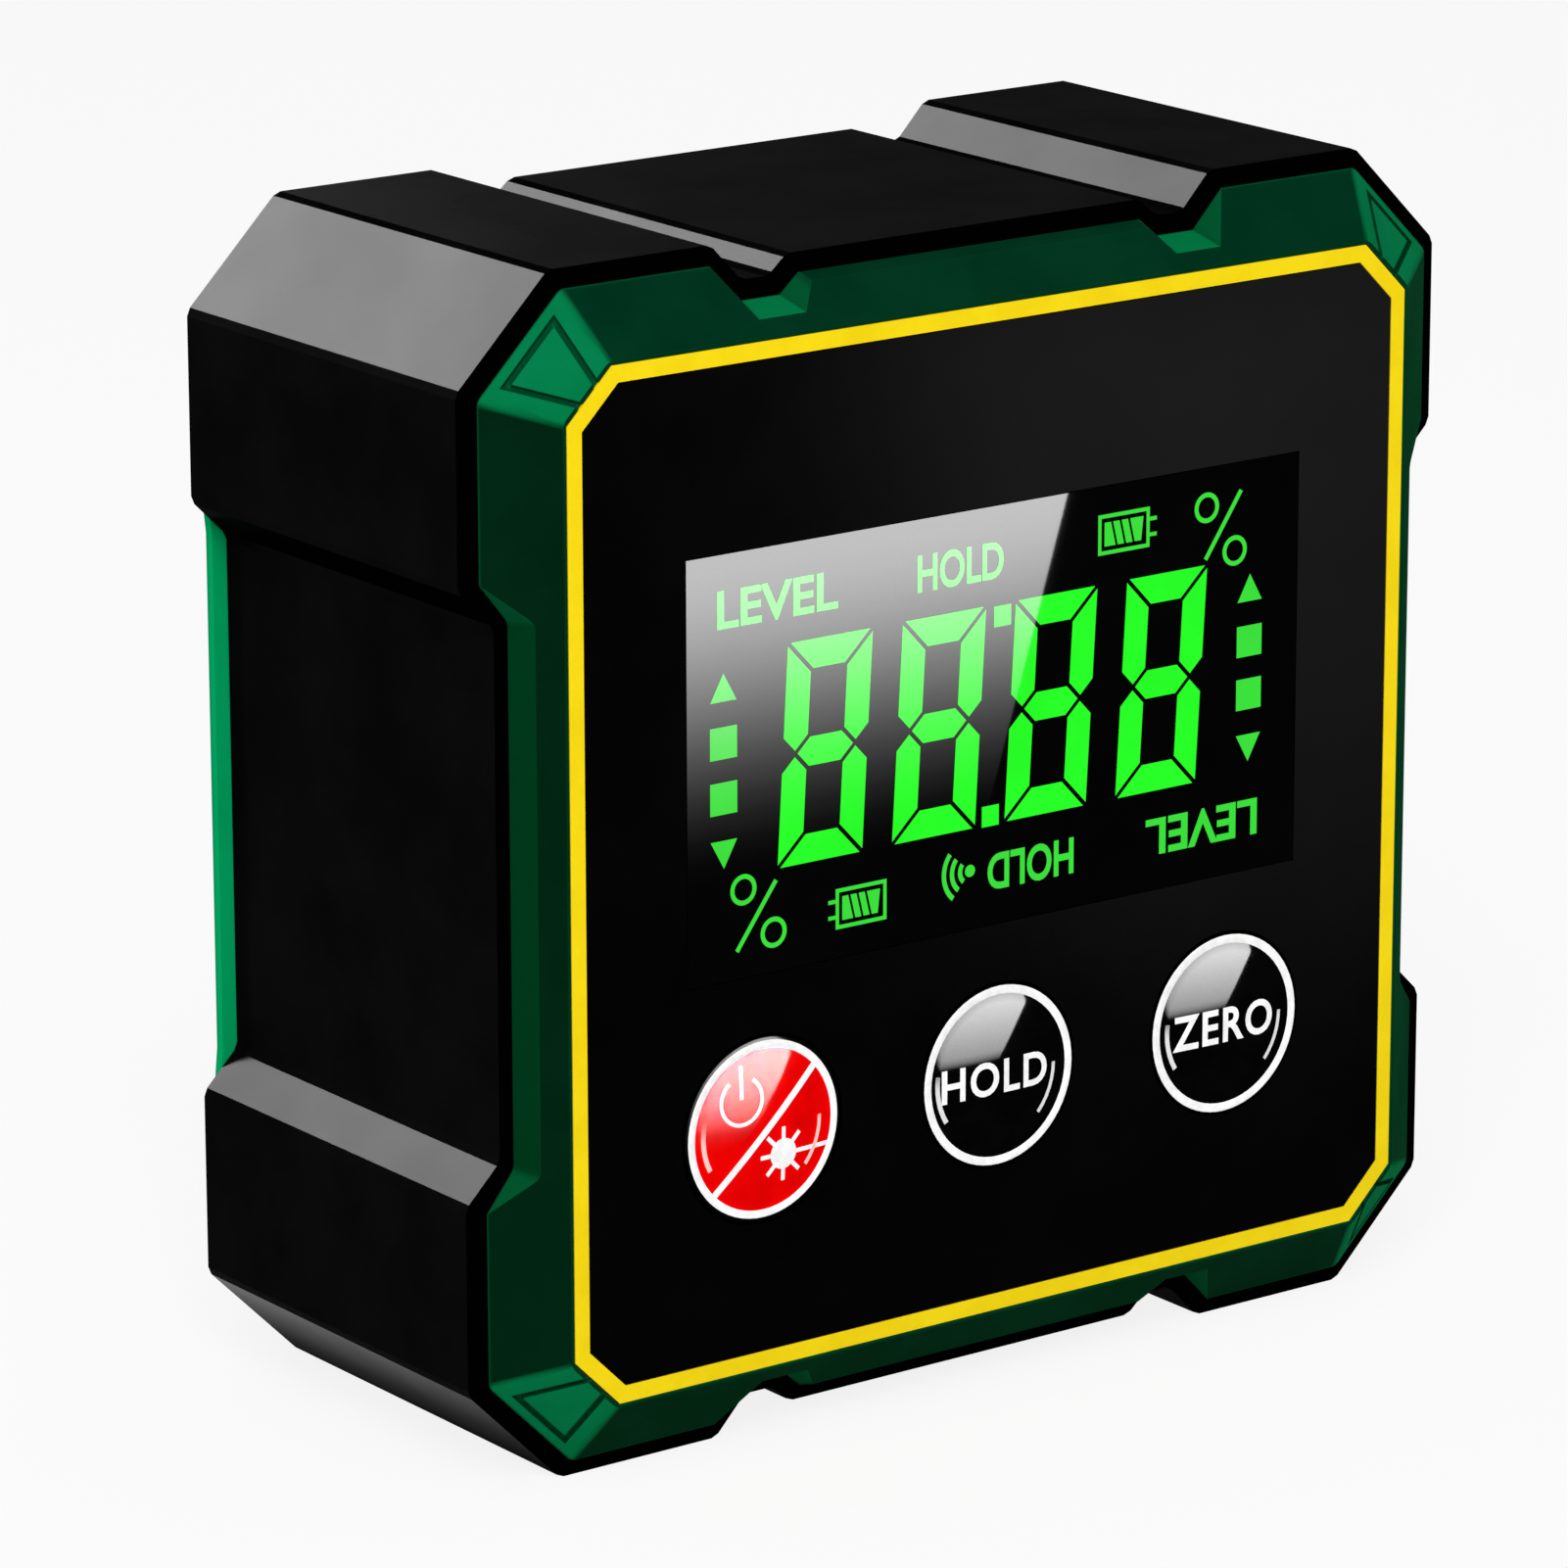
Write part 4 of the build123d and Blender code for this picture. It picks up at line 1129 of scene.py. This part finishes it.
dress(bandFinish(), "frame_band")
dress(greenFinish("greenFront", False), "front_bezel", "battery_door")
dress(greenFinish("greenRear", True), "rear_cover")
dress(boardFinish(), "main_board", "laser_driver_board")
dress(metalFinish("canMetal"), "capacitor")
dress(metalFinish("turnedBrass"), "laser_barrel")
dress(metalFinish("contactSteel"), "positive_plate", "negative_plate", "bridge_plate")
for name, skin in plainSkins.items():
    dressPlain(name, **skin)
print("finder: finishes set")


# case screws

screws = {
    "apart": 21.5,  # half the distance between two of them, both across and up
    "turns": (12, 57, 31, 74),  # degrees; each cross stopped where its screw came tight
    "seat": 9.0,
    "head": 2.2,
    "rim": ((0.2, 0.25), (0.0, 0.7)),  # the head's rounding, in from its side and down from its top
    "flat": 1.5,  # radius of the head's flat top
    "core": 0.95,
    "point": 0.9,
    "slotReach": 1.2,
    "slotHalf": 0.27,
    "slotDeep": 0.8,
    "slotTaper": 0.55,
    "crest": 1.2,
    "ridgeHalf": 0.3,
    "ridgeSunk": 0.05,
    "pitch": 0.9,
    "threadFrom": 1.2,  # above the tip
    "threadTurns": 9,
    "threadSteps": 14,  # in one turn
}
screwTip, screwTop = (corner[1] for corner in span("case_screws"))
screwPlaces = [(side * screws["apart"], midHeight + up * screws["apart"])
               for up in (-1, 1) for side in (-1, 1)]


def crossSlot(shape, place, turn, rimEdges):
    # fills the head's flat top up to a cross-shaped hollow
    x, z = place
    half, reach = screws["slotHalf"], screws["slotReach"]
    corners = []
    for k in range(4):
        quarter = Matrix.Rotation(math.radians(turn + 90 * k), 2)
        corners += [quarter @ Vector(corner) for corner in ((reach, -half), (reach, half), (half, half))]
    ring = [shape.verts.new((x + corner.x, screwTop, z + corner.y)) for corner in corners]
    outline = [shape.edges.new((ring[k - 1], ring[k])) for k in range(len(ring))]
    bmesh.ops.triangle_fill(shape, use_beauty=True, edges=outline + rimEdges)
    walls = bmesh.ops.extrude_edge_only(shape, edges=outline)["geom"]
    low = [item for item in walls if isinstance(item, bmesh.types.BMVert)]
    bmesh.ops.translate(shape, vec=(0.0, -screws["slotDeep"], 0.0), verts=low)
    taper = screws["slotTaper"]
    bmesh.ops.scale(shape, vec=(taper, 1.0, taper), verts=low, space=Matrix.Translation((-x, 0.0, -z)))
    closeEnds(shape, [item for item in walls if isinstance(item, bmesh.types.BMEdge)])


def screwThread(shape, place):
    # a ridge wound round the shank
    x, z = place
    start, root = screwTip + screws["threadFrom"], screws["core"] - screws["ridgeSunk"]
    half = screws["ridgeHalf"]
    section = ((root, -half), (screws["crest"], 0.0), (root, half))
    points = [shape.verts.new((x + radius, start + along, z)) for radius, along in section]
    lines = [shape.edges.new((points[k - 1], points[k])) for k in range(len(points))]
    before = set(shape.edges)
    steps = screws["threadTurns"] * screws["threadSteps"]
    bmesh.ops.spin(shape, geom=points + lines, cent=(x, 0.0, z), axis=(0.0, 1.0, 0.0),
                   dvec=(0.0, screws["pitch"] / screws["threadSteps"], 0.0),
                   angle=2 * math.pi * screws["threadTurns"], steps=steps)
    closeEnds(shape, lines + [e for e in shape.edges if e not in before])


def makeScrews():
    head, core = screws["head"], screws["core"]
    rim = [(head - inwards, screwTop - down) for inwards, down in screws["rim"]]
    profile = [(screws["flat"], screwTop), *rim, (head, screws["seat"]), (core, screws["seat"]),
               (core, screwTip + screws["point"]), (0.0, screwTip)]
    shape = bmesh.new()
    for (x, z), turn in zip(screwPlaces, screws["turns"]):
        before = set(shape.edges)
        turned(shape, profile, (x, 0.0, z), (0.0, 1.0, 0.0), 32)
        crossSlot(shape, (x, z), turn, [e for e in shape.edges if e not in before and e.is_boundary])
        screwThread(shape, (x, z))
    steel = metalFinish("screwSteel")
    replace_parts(newPiece("cross_screws", shape, steel, "housing", 35), "case_screws")


makeScrews()
print("finder: case screws made")


# cells and the springs that press on them

cells = {  # lengths run towards the nub from the middle of the case
    "radius": 5.15,
    "end": -20.4,
    "shoulder": 23.0,
    "tip": 24.0,
    "nub": 1.9,
    "nubSoft": (0.35, 0.25),  # rounding of the nub's rim, in and down
    "nubFoot": (0.2, 0.1),
    "bevel": 0.3,
    "sleeveLip": 4.2,  # where the shrunk sleeve ends on each end face
    "canGap": 0.02,
    "canSunk": 0.12,  # below the sleeve's lip
    "pad": (2.8, 2.6, 0.06),  # radius at its foot and its top, and height, at the flat end
    "paleFrom": 9.0,
    "dark": (srgb(26, 28, 30), srgb(34, 36, 40)),
    "pale": (srgb(196, 140, 62), srgb(208, 152, 74)),
    "blot": 4.0,
    "roughness": (0.3, 0.12),  # least, and the most that the noise adds
    "speckle": 1.5,  # size of that noise
}
springs = {
    "base": 23.65,
    "length": 2.6,
    "radii": (3.1, 1.9),
    "turns": 2.5,
    "stepsPerTurn": 24,
    "wire": 0.25,
}


def cellSleeve(shape, centre, way):
    radius, lip, bevel = cells["radius"], cells["sleeveLip"], cells["bevel"]
    low, high = cells["end"], cells["shoulder"]
    profile = [(lip, high), (radius - bevel, high), (radius, high - bevel), (radius, low + bevel),
               (radius - bevel, low), (lip, low)]
    turned(shape, profile, centre, way, 48, closed=True)


def cellEnds(shape, centre, way):
    # the steel can, of which the sleeve leaves the two ends bare, with the nub on one
    body, nub, tip = cells["sleeveLip"] - cells["canGap"], cells["nub"], cells["tip"]
    front, low = cells["shoulder"] - cells["canSunk"], cells["end"] + cells["canSunk"]
    inwards, down = cells["nubSoft"]
    footReach, footHeight = cells["nubFoot"]
    padFoot, padTop, padHeight = cells["pad"]
    profile = [(0.0, tip), (nub - inwards, tip), (nub, tip - down), (nub, front + footHeight),
               (nub + footReach, front), (body, front), (body, low), (padFoot, low),
               (padTop, low - padHeight), (0.0, low - padHeight)]
    turned(shape, profile, centre, way, 48)


def coil(shape, base, way):
    # a spring that narrows towards the cell
    curve = bpy.data.curves.new("coil", "CURVE")
    curve.dimensions = "3D"
    curve.bevel_depth = springs["wire"]
    curve.bevel_resolution = 2
    curve.use_fill_caps = True
    path = curve.splines.new("POLY")
    count = round(springs["turns"] * springs["stepsPerTurn"])
    path.points.add(count)
    wide, narrow = springs["radii"]
    for k, point in enumerate(path.points):
        share = k / count
        angle, radius = 2 * math.pi * springs["turns"] * share, wide + (narrow - wide) * share
        around = Vector((0.0, math.cos(angle), math.sin(angle))) * radius
        point.co = (*(Vector(base) + Vector(way) * springs["length"] * share + around), 1.0)
    addCurve(shape, curve)


def sleeveFinish(name, nubSide):
    # printed sleeve in two plain fields, the paler one towards the nub
    finish = Finish(name, specular=0.3)
    cloud = finish.noise(cells["blot"]).ramp(*blotFade)
    dark, pale = finish.blend(cloud, *cells["dark"]), finish.blend(cloud, *cells["pale"])
    field = (finish.spot("X") * nubSide).ramp(cells["paleFrom"], cells["paleFrom"] + 0.1)
    roughness, rougher = cells["roughness"]
    finish.set(baseColour=finish.blend(field, dark, pale),
               roughness=finish.noise(cells["speckle"]) * rougher + roughness)
    return finish


def makeCells():
    zinc, wire = metalFinish("cellSteel"), metalFinish("springWire")
    for name, nubSide, spring in (("upper", -1, "bridge_spring"), ("lower", 1, "negative_spring")):
        depth, height = centreOf("battery_" + name)[1:]
        centre, way = (0.0, depth, height), (float(nubSide), 0.0, 0.0)
        shape = bmesh.new()
        cellSleeve(shape, centre, way)
        sleeve = sleeveFinish(name + "Sleeve", nubSide)
        newPiece(name + "_cell_sleeve", shape, sleeve, "housing", 30)
        shape = bmesh.new()
        cellEnds(shape, centre, way)
        ends = newPiece(name + "_cell_ends", shape, zinc, "housing", 30)
        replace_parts(ends, "battery_" + name)
        shape = bmesh.new()
        coil(shape, (-nubSide * springs["base"], depth, height), way)
        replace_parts(newPiece(spring + "_coil", shape, wire, "housing", 40), spring)


makeCells()
print("finder: cells and springs made")


# reflection cards

glare = {
    "distance": 46.0,
    "left": -20.5,
    "low": (28.3, -1.38),  # height on the face, and the slanting right end there
    "high": (45.9, 4.25),
    "rows": 16,
    "strength": 600.0,
}


def softLevel(share):
    # from 0 to 1 as the eye sees an even fade
    return (share * share * (3 - 2 * share)) ** 2


def hangWindowCard():
    (lowZ, lowX), (highZ, highX) = glare["low"], glare["high"]
    rows = []
    for k in range(glare["rows"] + 1):
        share = k / glare["rows"]
        z, right = lowZ + (highZ - lowZ) * share, lowX + (highX - lowX) * share
        ends = [mirrored((x, z), faceFront, glare["distance"]) for x in (glare["left"], right)]
        rows.append((*ends, softLevel(share)))
    hangCard("windowCard", rows, glare["strength"], [nodes["display_window"], *signPieces])


slopeCards = {
    "distance": 300.0,
    "cards": {  # the way to each card from the case's middle, half its size and its strength
        "frontLeft": ((-0.267, 0.775, 0.573), 68.0, 226.0),
        "frontRight": ((0.267, 0.775, 0.573), 45.0, 110.0),
        "rearLeft": ((-0.259, -0.683, 0.683), 68.0, 226.0),
        "rearRight": ((0.259, -0.683, 0.683), 60.0, 226.0),
    },
}


def hangSlopeCards():
    # what the chamfers and notch walls reflect, as each corner of the case is looked at
    for name, (way, half, strength) in slopeCards["cards"].items():
        way = Vector(way).normalized()
        centre = Vector((0.0, 0.0, midHeight)) + way * slopeCards["distance"]
        side = way.cross(Vector((0.0, 0.0, 1.0))).normalized() * half
        rise = side.cross(way)
        rows = [(centre - side + up, centre + side + up, 1.0) for up in (-rise, rise)]
        hangCard(name + "SlopeCard", rows, strength, [nodes["frame_band"]])


capGlare = {
    "distances": {"power": 40.0, "hold": 42.0, "zero": 44.0},  # no two cards in one plane
    "left": -4.4,
    "edgeLow": (0.13, 1.28),  # two points of the slanting right end, from the middle of a cap
    "edgeHigh": (1.75, 3.6),
    "top": 4.3,
    "blackFades": ((0.9, 0.0), (1.15, 0.25), (1.4, 0.42), (2.8, 0.68)),  # height and level, below the top
    "redFades": ((-0.8, 0.0), (-0.2, 0.004), (0.3, 0.02), (0.8, 0.1), (1.4, 0.29), (2.0, 0.48), (2.8, 0.7)),
    "strength": 860.0,
}


def mirroredByDome(place, spot, distance):
    # where the camera's look at a point of a cap's dome goes on to, this far in front of the face
    eye = cameraPlace(cameraSetup)
    x, z = place
    point = Vector((x + spot[0], domeDepth(math.hypot(*spot)), z + spot[1]))
    normal = Vector((spot[0] / domeCurve, -1.0, spot[1] / domeCurve)).normalized()
    way = (point - eye).normalized().reflect(normal)
    return point + way * (faceFront - distance - point.y) / way.y


def hangCapCards():
    (lowX, lowZ), (highX, highZ) = capGlare["edgeLow"], capGlare["edgeHigh"]
    lean = (highX - lowX) / (highZ - lowZ)
    for key, place in capPlaces.items():
        fades = capGlare["redFades" if key == "power" else "blackFades"]
        rows = []
        for z, level in (*fades, (capGlare["top"], 1.0)):
            ends = [mirroredByDome(place, (x, z), capGlare["distances"][key])
                    for x in (capGlare["left"], lowX + (z - lowZ) * lean)]
            rows.append((*ends, level))
        seenBy = [capPieces[key][part] for part in ("cap", "print", "arcs")]
        hangCard(key + "Card", rows, capGlare["strength"], seenBy)


faceCard = {
    "distance": 50.0,
    "rows": (((7.0, 8.0), (34.0, 2.0), 0.03), ((-9.0, 58.0), (34.0, 58.0), 0.75)),  # left, right and level
    "strength": 20.0,
}


def hangFaceCard():
    rows = [(*(mirrored(point, faceFront, faceCard["distance"]) for point in ends), level)
            for *ends, level in faceCard["rows"]]
    hangCard("faceCard", rows, faceCard["strength"], [nodes["face_panel"]])


footCard = {
    "height": 0.1,  # just over the floor, where the lower left chamfer looks
    "front": -12.0,
    "back": 22.0,
    "rows": (  # place along X, and the levels at the front end and at the back end
        (-29.5, 0.42, 1.0),
        (-27.25, 0.3, 0.9),
        (-26.1, 0.07, 0.34),
        (-25.0, 0.0, 0.05),
        (-24.75, 0.0, 0.0),
    ),
    "strength": 42.0,
}


def hangFootCard():
    rows = [((x, footCard["front"], footCard["height"]), (x, footCard["back"], footCard["height"]), *levels)
            for x, *levels in footCard["rows"]]
    hangCard("footCard", rows, footCard["strength"], [nodes["frame_band"]])


hangWindowCard()
hangFootCard()
hangSlopeCards()
hangCapCards()
hangFaceCard()
print("finder: cards hung")
